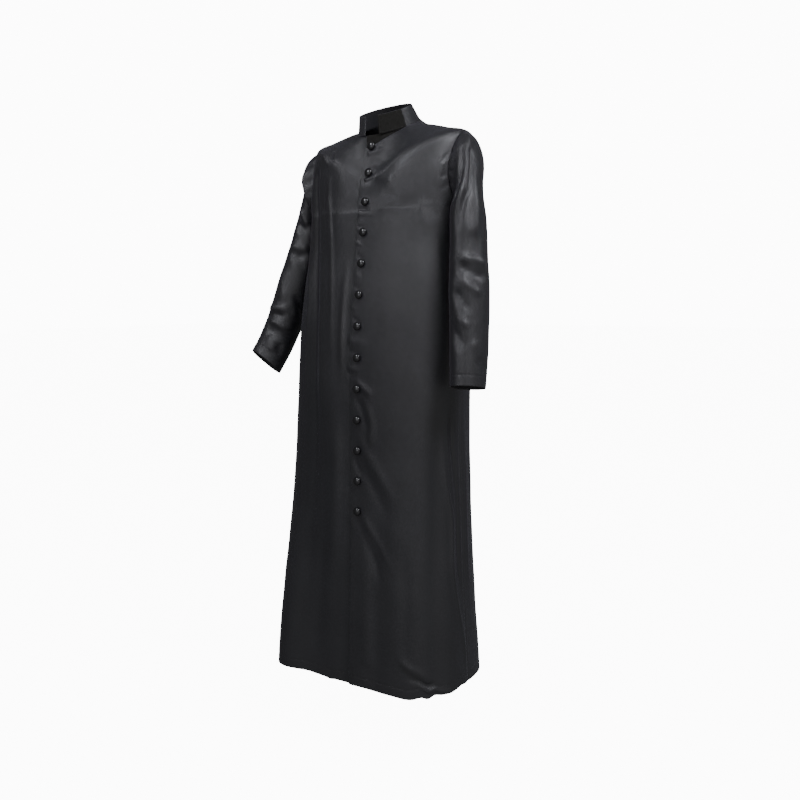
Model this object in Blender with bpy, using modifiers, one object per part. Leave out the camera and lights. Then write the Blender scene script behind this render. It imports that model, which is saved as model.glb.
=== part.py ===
"""A satin cassock with a standing collar, worn open at neck, cuffs and hem.

Every cloth piece is a wall lofted through rings of the body or of an arm. The frame's
origin is the centre of the neckline, +Z is up, the wearer faces -Y, and the wearer's left
is +X. All sizes are in metres, and angles about the body are in degrees: 0 is the centre
front, 90 the wearer's left side, 180 the centre back.
"""
import math

import bmesh
import bpy
import numpy as np

COLLECTION = "cassock"

# Cloth
CLOTH_THICKNESS = 0.002
TAPE_THICKNESS = 0.001
SEAM_GAP = 0.0003
ARMHOLE_GAP = 0.0008       # sideways, so that sloping stretches of the seam keep the gap
CLOSURE_LAP = 0.021        # the left front's edge, past the centre line
UNDERLAP = 0.050           # the right front's edge, under the left front from its edge
UNDERLAP_BLEND = 0.070     # cloth over which the right front sinks to pass below the left
LAYER_GAP = 0.0012         # room between layers that lie on each other
TAPE_SINK = CLOTH_THICKNESS + LAYER_GAP
UNDERLAP_SINK = TAPE_SINK + TAPE_THICKNESS + LAYER_GAP

# Body rings from the neckline to the hem. The height of a ring may differ at the front,
# the sides and the back, and changes between them as the cosine to the given power.
BODY_COLUMNS = ("front_z", "side_z", "back_z", "power", "shift_x", "centre_y",
                "half_width", "front_depth", "back_depth", "squareness")
BODY_RINGS = (
    (-0.031, 0.001, 0.033, 1.0, -0.003, 0.000, 0.0765, 0.0765, 0.0765, 2.0),   # neckline
    (-0.070, -0.007, 0.000, 1.3, -0.002, 0.002, 0.118, 0.082, 0.096, 2.1),
    (-0.105, -0.020, -0.036, 1.5, -0.001, 0.003, 0.165, 0.090, 0.108, 2.2),
    (-0.135, -0.034, -0.080, 1.6, 0.000, 0.004, 0.212, 0.099, 0.115, 2.4),     # shoulder tip
    (-0.155, -0.078, -0.115, 1.6, -0.001, 0.004, 0.222, 0.1035, 0.120, 2.5),
    (-0.175, -0.122, -0.148, 1.6, -0.003, 0.004, 0.224, 0.1072, 0.122, 2.6),
    (-0.195, -0.168, -0.180, 1.6, -0.004, 0.003, 0.219, 0.1103, 0.123, 2.65),
    (-0.215, -0.212, -0.212, 1.6, -0.005, 0.002, 0.213, 0.1128, 0.123, 2.75),    # armpit
    (-0.300, -0.300, -0.300, 1.6, -0.011, 0.000, 0.213, 0.121, 0.124, 2.8),
    (-0.400, -0.400, -0.400, 1.6, -0.016, -0.003, 0.219, 0.132, 0.127, 3.0),
    (-0.500, -0.500, -0.500, 1.6, -0.019, -0.006, 0.223, 0.139, 0.130, 3.1),
    (-0.630, -0.630, -0.630, 1.6, -0.022, -0.011, 0.226, 0.140, 0.134, 3.2),
    (-0.785, -0.785, -0.785, 1.6, -0.028, -0.013, 0.232, 0.140, 0.140, 3.2),
    (-0.985, -0.985, -0.985, 1.6, -0.038, -0.009, 0.247, 0.150, 0.150, 3.2),
    (-1.185, -1.185, -1.185, 1.6, -0.046, -0.009, 0.264, 0.160, 0.162, 3.2),
    (-1.385, -1.385, -1.385, 1.6, -0.052, 0.002, 0.276, 0.180, 0.184, 3.2),    # hem
)
TIP_LEVEL = 3
ARMPIT_LEVEL = 7
HEM_LEVEL = len(BODY_RINGS) - 1

# Armhole: how far it cuts into the front and the back, as an angle about the body
ARMHOLE_FRONT_SWING = 17.0
ARMHOLE_BACK_SWING = 18.0
SIDE_ANGLE = 90.0

# Left front's top corner hangs open below the neckline
DROOP_START_ANGLE = 70.0
DROOP_PER_DEGREE = 0.01

# Large folds: angle about the body at the top and the hem, half width, depth inwards
FOLD_COLUMNS = ("top_angle", "hem_angle", "spread", "depth", "top_z", "full_z")
FOLDS = (
    (-52.0, -42.0, 14.0, -0.036, -0.85, -1.385),
    (-50.0, -30.0, 9.0, 0.010, -0.12, -0.45),
    (-76.0, -62.0, 8.0, 0.008, -0.55, -1.00),
    (72.0, 66.0, 6.0, 0.009, -0.60, -0.85),
    (38.0, 32.0, 9.0, 0.005, -0.70, -1.10),
    (152.0, 146.0, 9.0, 0.012, -0.45, -0.80),
    (206.0, 212.0, 9.0, 0.012, -0.45, -0.80),
    (180.0, 178.0, 8.0, 0.007, -0.70, -1.00),
    (118.0, 114.0, 8.0, 0.007, -0.70, -1.00),
    (242.0, 246.0, 8.0, 0.008, -0.70, -1.00),
)

# Sleeve rings after the armhole: centre, the arm's lean from level, and half sizes across
# the arm in its hanging plane and from front to back
SLEEVE_COLUMNS = ("x", "y", "z", "lean", "swing", "half_across", "half_depth")
LEFT_SLEEVE_RINGS = (
    (0.2245, -0.002, -0.133, 8.0, 0.0, 0.078, 0.064),
    (0.233, -0.014, -0.155, 17.0, 0.0, 0.062, 0.057),
    (0.2385, -0.040, -0.196, 50.0, 3.0, 0.042, 0.050),
    (0.247, -0.050, -0.252, 78.0, 4.0, 0.041, 0.048),
    (0.251, -0.055, -0.312, 85.0, 4.0, 0.043, 0.047),
    (0.257, -0.063, -0.402, 86.0, 6.0, 0.046, 0.050),
    (0.263, -0.073, -0.492, 86.0, 9.0, 0.045, 0.049),
    (0.268, -0.085, -0.566, 86.0, 11.0, 0.043, 0.046),
    (0.271, -0.094, -0.622, 86.0, 12.0, 0.041, 0.044),
)
RIGHT_SLEEVE_RINGS = (
    (-0.2290, -0.002, -0.133, 6.5, 0.0, 0.078, 0.064),
    (-0.2365, 0.004, -0.151, 14.0, 0.0, 0.057, 0.057),
    (-0.2510, 0.008, -0.197, 41.0, 0.0, 0.041, 0.053),
    (-0.265, 0.006, -0.245, 66.0, 2.0, 0.042, 0.051),
    (-0.279, -0.006, -0.305, 70.0, 4.0, 0.044, 0.051),
    (-0.304, -0.019, -0.390, 70.0, 6.0, 0.047, 0.052),
    (-0.327, -0.034, -0.470, 70.0, 12.0, 0.046, 0.050),
    (-0.347, -0.055, -0.535, 68.0, 24.0, 0.044, 0.046),
    (-0.364, -0.080, -0.588, 65.0, 38.0, 0.042, 0.045),
)

# Collar: a band that stands square to the tilted neckline
COLLAR_HEIGHT = 0.040
COLLAR_TOP_RADIUS = 0.066
COLLAR_GAP_ANGLE = 16.0
COLLAR_SEAM = 0.0008       # room under the collar for the slope of the cloth it stands on

# Matte tape on the underlap below the collar's gap
NECK_TAPE_START_ANGLE = -12.0
NECK_TAPE_END_ANGLE = 60.0
NECK_TAPE_BOTTOM_LEVEL = 0.80

# Buttons
BUTTON_COUNT = 13
BUTTON_RADIUS = 0.0103
BUTTON_DOME = 0.0062
BUTTON_EDGE = 0.0014
BUTTON_SHANK_RADIUS = 0.0030
BUTTON_SHANK = 0.0026
FIRST_BUTTON_Z = -0.058
BUTTON_PITCH = 0.0755
BUTTON_PITCH_TOP = 0.064
PITCH_EASE = 1.8

# Mesh counts, and the step over which a surface's slope is read
NORMAL_STEP = 2.0
YOKE_ROWS = 5
ARMHOLE_ROWS = 9
SKIRT_ROWS = 13
FRONT_COLUMNS = 12
BACK_COLUMNS = 22
SLEEVE_ROWS = 12
COLLAR_COLUMNS = 26
COLLAR_TAPE_COLUMNS = 4
NECK_TAPE_COLUMNS = 9
NECK_TAPE_ROWS = 3
BUTTON_STEPS = 12

# Finishes: colour, roughness, metallic
SATIN = ((0.020, 0.020, 0.024), 0.38, 0.0)
TAPE = ((0.022, 0.021, 0.020), 0.90, 0.0)
BUTTON_GLOSS = ((0.006, 0.006, 0.007), 0.08, 0.0)


def rows_between(table, columns, position):
    """Read a table at a position counted in rows, along a smooth curve through its rows."""
    values = np.array(table)
    last = len(table) - 1
    index = min(int(math.floor(position)), last - 1)
    t = position - index
    before = values[index - 1] if index > 0 else 2.0 * values[index] - values[index + 1]
    after = values[index + 2] if index + 2 <= last else 2.0 * values[index + 1] - values[index]
    start_slope = (values[index + 1] - before) / 2.0
    end_slope = (after - values[index]) / 2.0
    blend = ((2 * t**3 - 3 * t**2 + 1) * values[index] + (t**3 - 2 * t**2 + t) * start_slope
             + (3 * t**2 - 2 * t**3) * values[index + 1] + (t**3 - t**2) * end_slope)
    return dict(zip(columns, blend))


def smooth_step(low, high, value):
    """Rise from 0 at low to 1 at high with level ends; low may be above high."""
    t = min(max((value - low) / (high - low), 0.0), 1.0)
    return t * t * (3.0 - 2.0 * t)


def fold_depth(angle, z):
    """How far the large folds press the cloth in at an angle about the body and a height."""
    depth = 0.0
    for row in FOLDS:
        fold = dict(zip(FOLD_COLUMNS, row))
        along = (z - fold["top_z"]) / (BODY_RINGS[HEM_LEVEL][0] - fold["top_z"])
        if along <= 0.0:
            continue
        centre = fold["top_angle"] + along * (fold["hem_angle"] - fold["top_angle"])
        apart = (angle - centre + 180.0) % 360.0 - 180.0
        reach = smooth_step(fold["top_z"], fold["full_z"], z)
        depth += fold["depth"] * reach * math.exp(-(apart / fold["spread"]) ** 2)
    return depth


def body_surface(angle, level):
    """Point of the body's outer surface."""
    ring = rows_between(BODY_RINGS, BODY_COLUMNS, level)
    sine = math.sin(math.radians(angle))
    cosine = math.cos(math.radians(angle))
    depth = ring["front_depth"] if cosine > 0.0 else ring["back_depth"]
    end_z = ring["front_z"] if cosine > 0.0 else ring["back_z"]
    z = ring["side_z"] + (end_z - ring["side_z"]) * abs(cosine) ** ring["power"]
    power = ring["squareness"]
    radius = (abs(sine / ring["half_width"]) ** power + abs(cosine / depth) ** power) ** (-1.0 / power)
    radius -= fold_depth(angle, z)
    return np.array((ring["shift_x"] + radius * sine, ring["centre_y"] - radius * cosine, z))


def body_point(angle, level, sink=0.0):
    """Point at a distance below the body's outer surface, measured square to it."""
    point = body_surface(angle, level)
    if sink == 0.0:
        return point
    across = body_surface(angle + NORMAL_STEP, level) - body_surface(angle - NORMAL_STEP, level)
    low = min(level + NORMAL_STEP / 10.0, HEM_LEVEL)
    high = max(level - NORMAL_STEP / 10.0, 0.0)
    down = body_surface(angle, low) - body_surface(angle, high)
    outward = np.cross(down, across)
    return point - outward * sink / np.linalg.norm(outward)


def front_angle(x, level):
    """Angle about the body at which the front reaches a sideways position."""
    low, high = -60.0, 60.0
    for _ in range(30):
        middle = (low + high) / 2.0
        if body_point(middle, level)[0] < x:
            low = middle
        else:
            high = middle
    return (low + high) / 2.0


def armhole_angle(level, swing):
    """Angle that the armhole's edge has moved from the side, at a level beside it."""
    share = (level - TIP_LEVEL) / (ARMPIT_LEVEL - TIP_LEVEL)
    return swing * 2.0 * math.sqrt(max(share * (1.0 - share), 0.0))


def side_edge(level, swing):
    """Angle from the side to a panel's edge: along a shoulder, an armhole and a side seam."""
    seam = math.degrees(SEAM_GAP / 2.0 / rows_between(BODY_RINGS, BODY_COLUMNS, level)["half_width"])
    if TIP_LEVEL < level < ARMPIT_LEVEL:
        return max(armhole_angle(level, swing), seam)
    return seam


def armhole_levels():
    """Levels of the armhole's rows, spaced as on a round hole."""
    span = ARMPIT_LEVEL - TIP_LEVEL
    return [TIP_LEVEL + span * (1.0 - math.cos(math.pi * k / ARMHOLE_ROWS)) / 2.0
            for k in range(ARMHOLE_ROWS + 1)]


def panel_levels(top_level):
    """Levels of a panel's rows, from its top edge to the hem."""
    yoke = [top_level + (TIP_LEVEL - top_level) * k / YOKE_ROWS for k in range(YOKE_ROWS)]
    span = HEM_LEVEL - ARMPIT_LEVEL
    skirt = [ARMPIT_LEVEL + span * k / SKIRT_ROWS for k in range(1, SKIRT_ROWS + 1)]
    return yoke + armhole_levels() + skirt


def wall(name, outer, inner, finish, ring=False):
    """Make a cloth wall from rows of outer and inner points; ring joins each row's ends."""
    mesh = bpy.data.meshes.new(name)
    bm = bmesh.new()
    faces = [[[bm.verts.new(point) for point in row] for row in rows] for rows in (outer, inner)]
    count = len(outer[0])
    columns = count if ring else count - 1
    for rows, turned in zip(faces, (False, True)):
        for upper, lower in zip(rows, rows[1:]):
            for k in range(columns):
                after = (k + 1) % count
                corners = (upper[k], lower[k], lower[after], upper[after])
                bm.faces.new(reversed(corners) if turned else corners)
    for end, turned in ((0, False), (-1, True)):
        for k in range(columns):
            after = (k + 1) % count
            corners = (faces[0][end][k], faces[0][end][after], faces[1][end][after], faces[1][end][k])
            bm.faces.new(reversed(corners) if turned else corners)
    if not ring:
        for end, turned in ((0, True), (-1, False)):
            for row in range(len(outer) - 1):
                corners = (faces[0][row][end], faces[0][row + 1][end],
                           faces[1][row + 1][end], faces[1][row][end])
                bm.faces.new(corners if not turned else reversed(corners))
    bm.to_mesh(mesh)
    bm.free()
    return place(name, mesh, finish)


def place(name, mesh, finish):
    """Link a mesh to the garment's collection with its own material."""
    colour, roughness, metallic = finish
    material = bpy.data.materials.new(name)
    material.use_nodes = True
    shader = material.node_tree.nodes["Principled BSDF"]
    shader.inputs["Base Color"].default_value = (*colour, 1.0)
    shader.inputs["Roughness"].default_value = roughness
    shader.inputs["Metallic"].default_value = metallic
    mesh.materials.append(material)
    piece = bpy.data.objects.new(name, mesh)
    bpy.data.collections[COLLECTION].objects.link(piece)
    return piece


def left_front():
    """Front panel that laps over, from its edge past the centre to the left side seam."""
    walls = []
    for sink in (0.0, CLOTH_THICKNESS):
        rows = []
        for row, level in enumerate(panel_levels(0.0)):
            start = front_angle(-CLOSURE_LAP, max(level, 1.0))
            sweep = SIDE_ANGLE - side_edge(level, ARMHOLE_FRONT_SWING) - start
            points = []
            for column in range(FRONT_COLUMNS + 1):
                angle = start + sweep * column / FRONT_COLUMNS
                droop = max(DROOP_START_ANGLE - angle, 0.0) * DROOP_PER_DEGREE
                points.append(body_point(angle, panel_levels(droop)[row], sink))
            rows.append(points)
        walls.append(rows)
    return wall("front_left", *walls, SATIN)


def right_front():
    """Front panel that passes under, from the right side seam to its hidden edge."""
    walls = []
    for thickness in (0.0, CLOTH_THICKNESS):
        rows = []
        for level in panel_levels(0.0):
            start = -SIDE_ANGLE + side_edge(level, ARMHOLE_FRONT_SWING)
            end = front_angle(UNDERLAP - CLOSURE_LAP, level)
            points = []
            for column in range(FRONT_COLUMNS + 1):
                angle = start + (end - start) * column / FRONT_COLUMNS
                x = body_surface(angle, level)[0]
                under = smooth_step(-CLOSURE_LAP - UNDERLAP_BLEND, -CLOSURE_LAP, x)
                points.append(body_point(angle, level, UNDERLAP_SINK * under + thickness))
            rows.append(points)
        walls.append(rows)
    return wall("front_right", *walls, SATIN)


def back():
    """Back panel between the two side seams, up to the shoulders and the neckline."""
    walls = []
    for sink in (0.0, CLOTH_THICKNESS):
        rows = []
        for level in panel_levels(0.0):
            start = SIDE_ANGLE + side_edge(level, ARMHOLE_BACK_SWING)
            sweep = 360.0 - 2.0 * start
            rows.append([body_point(start + sweep * k / BACK_COLUMNS, level, sink)
                         for k in range(BACK_COLUMNS + 1)])
        walls.append(rows)
    return wall("back", *walls, SATIN)


def armhole_loop(side, sink):
    """Points round an armhole from the shoulder tip down the front and up the back.

    The inner points lie towards the hole's middle, so the sleeve's end stands clear of the
    panels' edges.
    """
    levels = armhole_levels()
    front = [body_surface(side * (SIDE_ANGLE - armhole_angle(level, ARMHOLE_FRONT_SWING)), level)
             for level in levels]
    rear = [body_surface(side * (SIDE_ANGLE + armhole_angle(level, ARMHOLE_BACK_SWING)), level)
            for level in levels]
    loop = np.array(front + rear[-2:0:-1])
    inwards = loop.mean(axis=0) - loop
    inwards[:, 0] = 0.0
    return loop + inwards * sink / np.linalg.norm(inwards, axis=1)[:, None]


def sleeve_ring(row, side, sink):
    """Points round one sleeve section, starting at its top and going to the front."""
    section = dict(zip(SLEEVE_COLUMNS, row))
    lean = math.radians(section["lean"])
    swing = math.radians(section["swing"])
    outward = np.array((side * math.sin(lean), 0.0, math.cos(lean)))
    forward = np.array((0.0, -math.cos(swing), math.sin(swing)))
    centre = np.array((section["x"], section["y"], section["z"]))
    count = 2 * ARMHOLE_ROWS
    points = []
    for k in range(count):
        turn = 2.0 * math.pi * k / count
        points.append(centre + outward * (section["half_across"] - sink) * math.cos(turn)
                      + forward * (section["half_depth"] - sink) * math.sin(turn))
    return points


def sleeve(name, side, table):
    """Sleeve lofted from its armhole through its sections to the open cuff."""
    walls = []
    seam = np.array((side * ARMHOLE_GAP, 0.0, 0.0))
    for sink in (0.0, CLOTH_THICKNESS):
        rings = [[point + seam for point in armhole_loop(side, sink)]]
        rings += [sleeve_ring(row, side, sink) for row in table]
        flat = [np.array(ring).ravel() for ring in rings]
        rows = []
        for row in range(SLEEVE_ROWS + 1):
            values = rows_between(flat, range(len(flat[0])), len(table) * row / SLEEVE_ROWS)
            points = np.array(list(values.values())).reshape(-1, 3)
            rows.append(points[::-1] if side > 0 else points)
        walls.append(rows)
    return wall(name, *walls, SATIN, ring=True)


def collar_point(angle, share, out=0.0):
    """Point of the collar at an angle and a share of its height, moved out by a distance."""
    ring = dict(zip(BODY_COLUMNS, BODY_RINGS[0]))
    tilt = math.atan2(ring["back_z"] - ring["front_z"], 2.0 * ring["half_width"])
    rise = np.array((0.0, -math.sin(tilt), math.cos(tilt)))
    slope = np.array((0.0, math.cos(tilt), math.sin(tilt)))
    radius = ring["half_width"] + (COLLAR_TOP_RADIUS - ring["half_width"]) * share + out
    turn = math.radians(angle)
    centre = np.array((ring["shift_x"], ring["centre_y"], ring["side_z"]))
    around = np.array((math.sin(turn), 0.0, 0.0)) - slope * math.cos(turn) / math.cos(tilt) ** (1.0 - share)
    return centre + around * radius + rise * (COLLAR_SEAM + COLLAR_HEIGHT * share)


def band(name, columns, finish, outer, inner):
    """Upright band of the collar that runs back from the front gap on the left."""
    step = (360.0 - 2.0 * COLLAR_GAP_ANGLE) / COLLAR_COLUMNS
    walls = [[[collar_point(COLLAR_GAP_ANGLE + step * k, share, out) for k in range(columns + 1)]
              for share in (1.0, 0.5, 0.0)] for out in (outer, inner)]
    return wall(name, *walls, finish)


def neck_tape():
    """Matte tape on the underlap, in the gap below the collar."""
    sweep = NECK_TAPE_END_ANGLE - NECK_TAPE_START_ANGLE
    walls = []
    for sink in (TAPE_SINK, TAPE_SINK + TAPE_THICKNESS):
        walls.append([[body_point(NECK_TAPE_START_ANGLE + sweep * column / NECK_TAPE_COLUMNS,
                                  NECK_TAPE_BOTTOM_LEVEL * row / NECK_TAPE_ROWS, sink)
                       for column in range(NECK_TAPE_COLUMNS + 1)]
                      for row in range(NECK_TAPE_ROWS + 1)])
    return wall("neck_tape", *walls, TAPE)


def button_heights():
    """Heights of the buttons, closer together on the chest."""
    heights = [FIRST_BUTTON_Z]
    for k in range(BUTTON_COUNT - 1):
        heights.append(heights[-1] - BUTTON_PITCH
                       + (BUTTON_PITCH - BUTTON_PITCH_TOP) * math.exp(-k / PITCH_EASE))
    return heights


def level_at(z):
    """Level whose centre front is at a height."""
    low, high = 0.0, float(HEM_LEVEL)
    for _ in range(30):
        middle = (low + high) / 2.0
        if body_point(0.0, middle)[2] > z:
            low = middle
        else:
            high = middle
    return (low + high) / 2.0


def button(index, z):
    """Domed shank button, turned about its own axis and set square to the front."""
    profile = [(0.0, 0.0), (BUTTON_SHANK_RADIUS, 0.0), (BUTTON_SHANK_RADIUS, BUTTON_SHANK),
               (BUTTON_RADIUS, BUTTON_SHANK), (BUTTON_RADIUS, BUTTON_SHANK + BUTTON_EDGE)]
    for k in (1, 2, 3):
        turn = math.radians(30.0 * k)
        profile.append((BUTTON_RADIUS * math.cos(turn),
                        BUTTON_SHANK + BUTTON_EDGE + BUTTON_DOME * math.sin(turn)))
    profile[-1] = (0.0, profile[-1][1])
    mesh = bpy.data.meshes.new(f"button_{index:02d}")
    bm = bmesh.new()
    corners = [bm.verts.new((radius, 0.0, height)) for radius, height in reversed(profile)]
    for above, below in zip(corners, corners[1:]):
        bm.edges.new((above, below))
    bm.to_mesh(mesh)
    bm.free()
    piece = place(mesh.name, mesh, BUTTON_GLOSS)
    turned = piece.modifiers.new("turn", "SCREW")
    turned.axis = "Z"
    turned.steps = BUTTON_STEPS
    turned.render_steps = BUTTON_STEPS
    turned.use_merge_vertices = True
    turned.merge_threshold = 0.00001
    level = level_at(z)
    middle = front_angle(0.0, level)
    centre = body_point(middle, level)
    step = 0.05
    downwards = body_point(middle, level + step) - centre
    lean = math.atan2(-downwards[1], -downwards[2])
    piece.rotation_euler = (math.pi / 2.0 - lean, 0.0, 0.0)
    outward = np.array((0.0, -math.cos(lean), math.sin(lean)))
    piece.location = centre + outward * SEAM_GAP * 2.0
    return piece


def clear_scene():
    """Start from an empty scene with the garment's own collection."""
    for item in list(bpy.data.objects):
        bpy.data.objects.remove(item, do_unlink=True)
    collection = bpy.data.collections.new(COLLECTION)
    bpy.context.scene.collection.children.link(collection)


def main():
    """Build every piece of the cassock."""
    clear_scene()
    left_front()
    right_front()
    back()
    sleeve("sleeve_left", 1.0, LEFT_SLEEVE_RINGS)
    sleeve("sleeve_right", -1.0, RIGHT_SLEEVE_RINGS)
    band("collar", COLLAR_COLUMNS, SATIN, 0.0, -CLOTH_THICKNESS)
    tape_face = 2.0 * SEAM_GAP
    band("collar_tape", COLLAR_TAPE_COLUMNS, TAPE, tape_face + TAPE_THICKNESS, tape_face)
    neck_tape()
    for index, z in enumerate(button_heights(), start=1):
        button(index, z)


main()
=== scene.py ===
"""The looks of a black satin cassock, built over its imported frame.

Sizes are in metres and the origin is the centre of the neckline. +Z is up, the wearer faces
-Y, and the wearer's left is +X. Angles about the body are in degrees: 0 is the centre front,
90 the wearer's left side and 180 the centre back. A level counts the body's rings down from
the neckline. On a sleeve, a turn of 0 is the arm's outer side and 90 its front.
"""
import logging
import math
from dataclasses import dataclass
from enum import Enum
from typing import Any, Callable, Sequence

import bpy
import numpy as np
from mathutils import Matrix, Vector


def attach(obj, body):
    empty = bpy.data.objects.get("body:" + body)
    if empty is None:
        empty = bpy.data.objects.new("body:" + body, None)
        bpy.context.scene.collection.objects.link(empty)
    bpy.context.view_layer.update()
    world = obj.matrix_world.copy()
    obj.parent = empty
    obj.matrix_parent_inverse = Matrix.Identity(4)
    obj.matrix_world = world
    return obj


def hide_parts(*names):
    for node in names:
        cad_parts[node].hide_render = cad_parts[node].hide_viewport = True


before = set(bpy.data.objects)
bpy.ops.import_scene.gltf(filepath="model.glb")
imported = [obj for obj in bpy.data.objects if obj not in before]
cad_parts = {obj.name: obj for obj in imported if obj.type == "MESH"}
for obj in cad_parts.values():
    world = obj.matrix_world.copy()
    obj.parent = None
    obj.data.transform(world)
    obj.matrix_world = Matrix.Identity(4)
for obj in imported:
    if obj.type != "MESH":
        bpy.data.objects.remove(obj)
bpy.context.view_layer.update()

LOG = logging.getLogger("cassock")
UV_NAME = "flat_cloth"
DULL_SIDE = "dull_side"
HALVINGS = 30
DULL_ROUGHNESS = 0.9
FLOOR_GLOW = 11.3
Path = Sequence[tuple[float, float]]
Colour = tuple[float, float, float]


class Slot(Enum):
    """Material slots."""

    SATIN = "satin"
    TAPE = "tape"
    BUTTON = "button"


class Held(Enum):
    """How a sheet of cloth is held."""

    HUNG = "hung"
    LAID = "laid"


# ---------------------------------------------------------------------------------------
# Forms: the garment's surfaces
# ---------------------------------------------------------------------------------------


def smooth_step(low: float, high: float, value: np.ndarray) -> np.ndarray:
    """Rise from 0 at low to 1 at high with level ends."""
    t = np.clip((value - low) / (high - low), 0.0, 1.0)
    return t * t * (3.0 - 2.0 * t)


def unit(vectors: np.ndarray) -> np.ndarray:
    """Scale vectors to length 1."""
    return vectors / np.maximum(np.linalg.norm(vectors, axis=-1, keepdims=True), 1e-12)


def run_along(points: np.ndarray, axis: int) -> np.ndarray:
    """Distances along a grid's rows or columns from their first point.

    Args:
        points: array of points.
        axis: axis that the distances run along.

    Returns:
        Array without the last axis.
    """
    steps = np.linalg.norm(np.diff(points, axis=axis), axis=-1)
    run = np.cumsum(steps, axis=axis)
    return np.concatenate([np.zeros_like(np.take(run, [0], axis=axis)), run], axis=axis)


def halve(low: np.ndarray, high: np.ndarray, short: Callable[[np.ndarray], np.ndarray]) -> np.ndarray:
    """Close in on where a test changes.

    Args:
        low: values where the test holds.
        high: values where it does not.
        short: the test.

    Returns:
        Values between them.
    """
    for _ in range(HALVINGS):
        middle = (low + high) / 2.0
        holds = short(middle)
        low, high = np.where(holds, middle, low), np.where(holds, high, middle)
    return (low + high) / 2.0


class Table:
    """Rows of numbers, read anywhere along a smooth curve through them."""

    def __init__(self, rows: Any) -> None:
        """Keep the rows with one more at each end.

        Args:
            rows: rows of equal length.
        """
        values = np.array(rows, dtype=float)
        self.last = len(values) - 1
        first, final = 2.0 * values[:1] - values[1:2], 2.0 * values[-1:] - values[-2:-1]
        self.values = np.concatenate([first, values, final])

    def at(self, position: np.ndarray) -> np.ndarray:
        """Read the table.

        Args:
            position: places counted in rows.

        Returns:
            Array with one more axis, the table's columns.
        """
        position = np.asarray(position, dtype=float)
        index = np.clip(np.floor(position).astype(int), 0, self.last - 1)
        t = (position - index)[..., None]
        before, start, end, after = (self.values[index + k] for k in range(4))
        rise, fall = (end - before) / 2.0, (after - start) / 2.0
        return ((2 * t**3 - 3 * t**2 + 1) * start + (t**3 - 2 * t**2 + t) * rise
                + (3 * t**2 - 2 * t**3) * end + (t**3 - t**2) * fall)


# Heights at the front, side and back, power of the change between them, sideways shift,
# centre, half width, front and back depth, and squareness
BODY_RINGS = (
    (-0.031, 0.001, 0.033, 1.0, -0.003, 0.000, 0.0765, 0.0765, 0.0765, 2.0),
    (-0.070, -0.007, 0.000, 1.3, -0.002, 0.002, 0.118, 0.082, 0.096, 2.1),
    (-0.105, -0.020, -0.036, 1.5, -0.001, 0.003, 0.165, 0.090, 0.108, 2.2),
    (-0.135, -0.034, -0.080, 1.6, 0.000, 0.004, 0.212, 0.099, 0.115, 2.4),
    (-0.155, -0.078, -0.115, 1.6, -0.001, 0.004, 0.2215, 0.1035, 0.120, 2.49),
    (-0.175, -0.122, -0.148, 1.6, -0.003, 0.004, 0.2235, 0.1072, 0.122, 2.57),
    (-0.195, -0.168, -0.180, 1.6, -0.0042, 0.003, 0.2195, 0.1103, 0.123, 2.64),
    (-0.215, -0.212, -0.212, 1.6, -0.0055, 0.0022, 0.2148, 0.1130, 0.1232, 2.70),
    (-0.240, -0.240, -0.240, 1.6, -0.0072, 0.0015, 0.2130, 0.1156, 0.1234, 2.755),
    (-0.300, -0.300, -0.300, 1.6, -0.011, 0.000, 0.213, 0.121, 0.124, 2.83),
    (-0.400, -0.400, -0.400, 1.6, -0.016, -0.003, 0.219, 0.132, 0.127, 3.0),
    (-0.500, -0.500, -0.500, 1.6, -0.019, -0.006, 0.223, 0.139, 0.130, 3.1),
    (-0.630, -0.630, -0.630, 1.6, -0.022, -0.011, 0.226, 0.140, 0.134, 3.2),
    (-0.785, -0.785, -0.785, 1.6, -0.028, -0.013, 0.232, 0.140, 0.140, 3.2),
    (-0.985, -0.985, -0.985, 1.6, -0.038, -0.009, 0.247, 0.150, 0.150, 3.2),
    (-1.185, -1.185, -1.185, 1.6, -0.046, -0.009, 0.264, 0.160, 0.162, 3.2),
    (-1.385, -1.385, -1.385, 1.6, -0.052, 0.002, 0.276, 0.180, 0.184, 3.2),
)
TIP_LEVEL, ARMPIT_LEVEL, HEM_LEVEL = 3.0, 7.0, 16.0
HEM_Z = BODY_RINGS[-1][0]

# Large folds: angle at the top and at the hem, half width in degrees, depth inwards, and
# the heights where the fold starts and where it is full
FOLDS = (
    (-52.0, -42.0, 14.0, -0.036, -0.85, -1.385),
    (-56.0, -34.0, 9.0, 0.010, -0.12, -0.45),
    (-76.0, -62.0, 8.0, 0.008, -0.55, -1.00),
    (72.0, 66.0, 6.0, 0.009, -0.60, -0.85),
    (38.0, 32.0, 9.0, 0.005, -0.70, -1.10),
    (152.0, 146.0, 9.0, 0.012, -0.45, -0.80),
    (206.0, 212.0, 9.0, 0.012, -0.45, -0.80),
    (180.0, 178.0, 8.0, 0.007, -0.70, -1.00),
    (118.0, 114.0, 8.0, 0.007, -0.70, -1.00),
    (242.0, 246.0, 8.0, 0.008, -0.70, -1.00),
)


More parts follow.
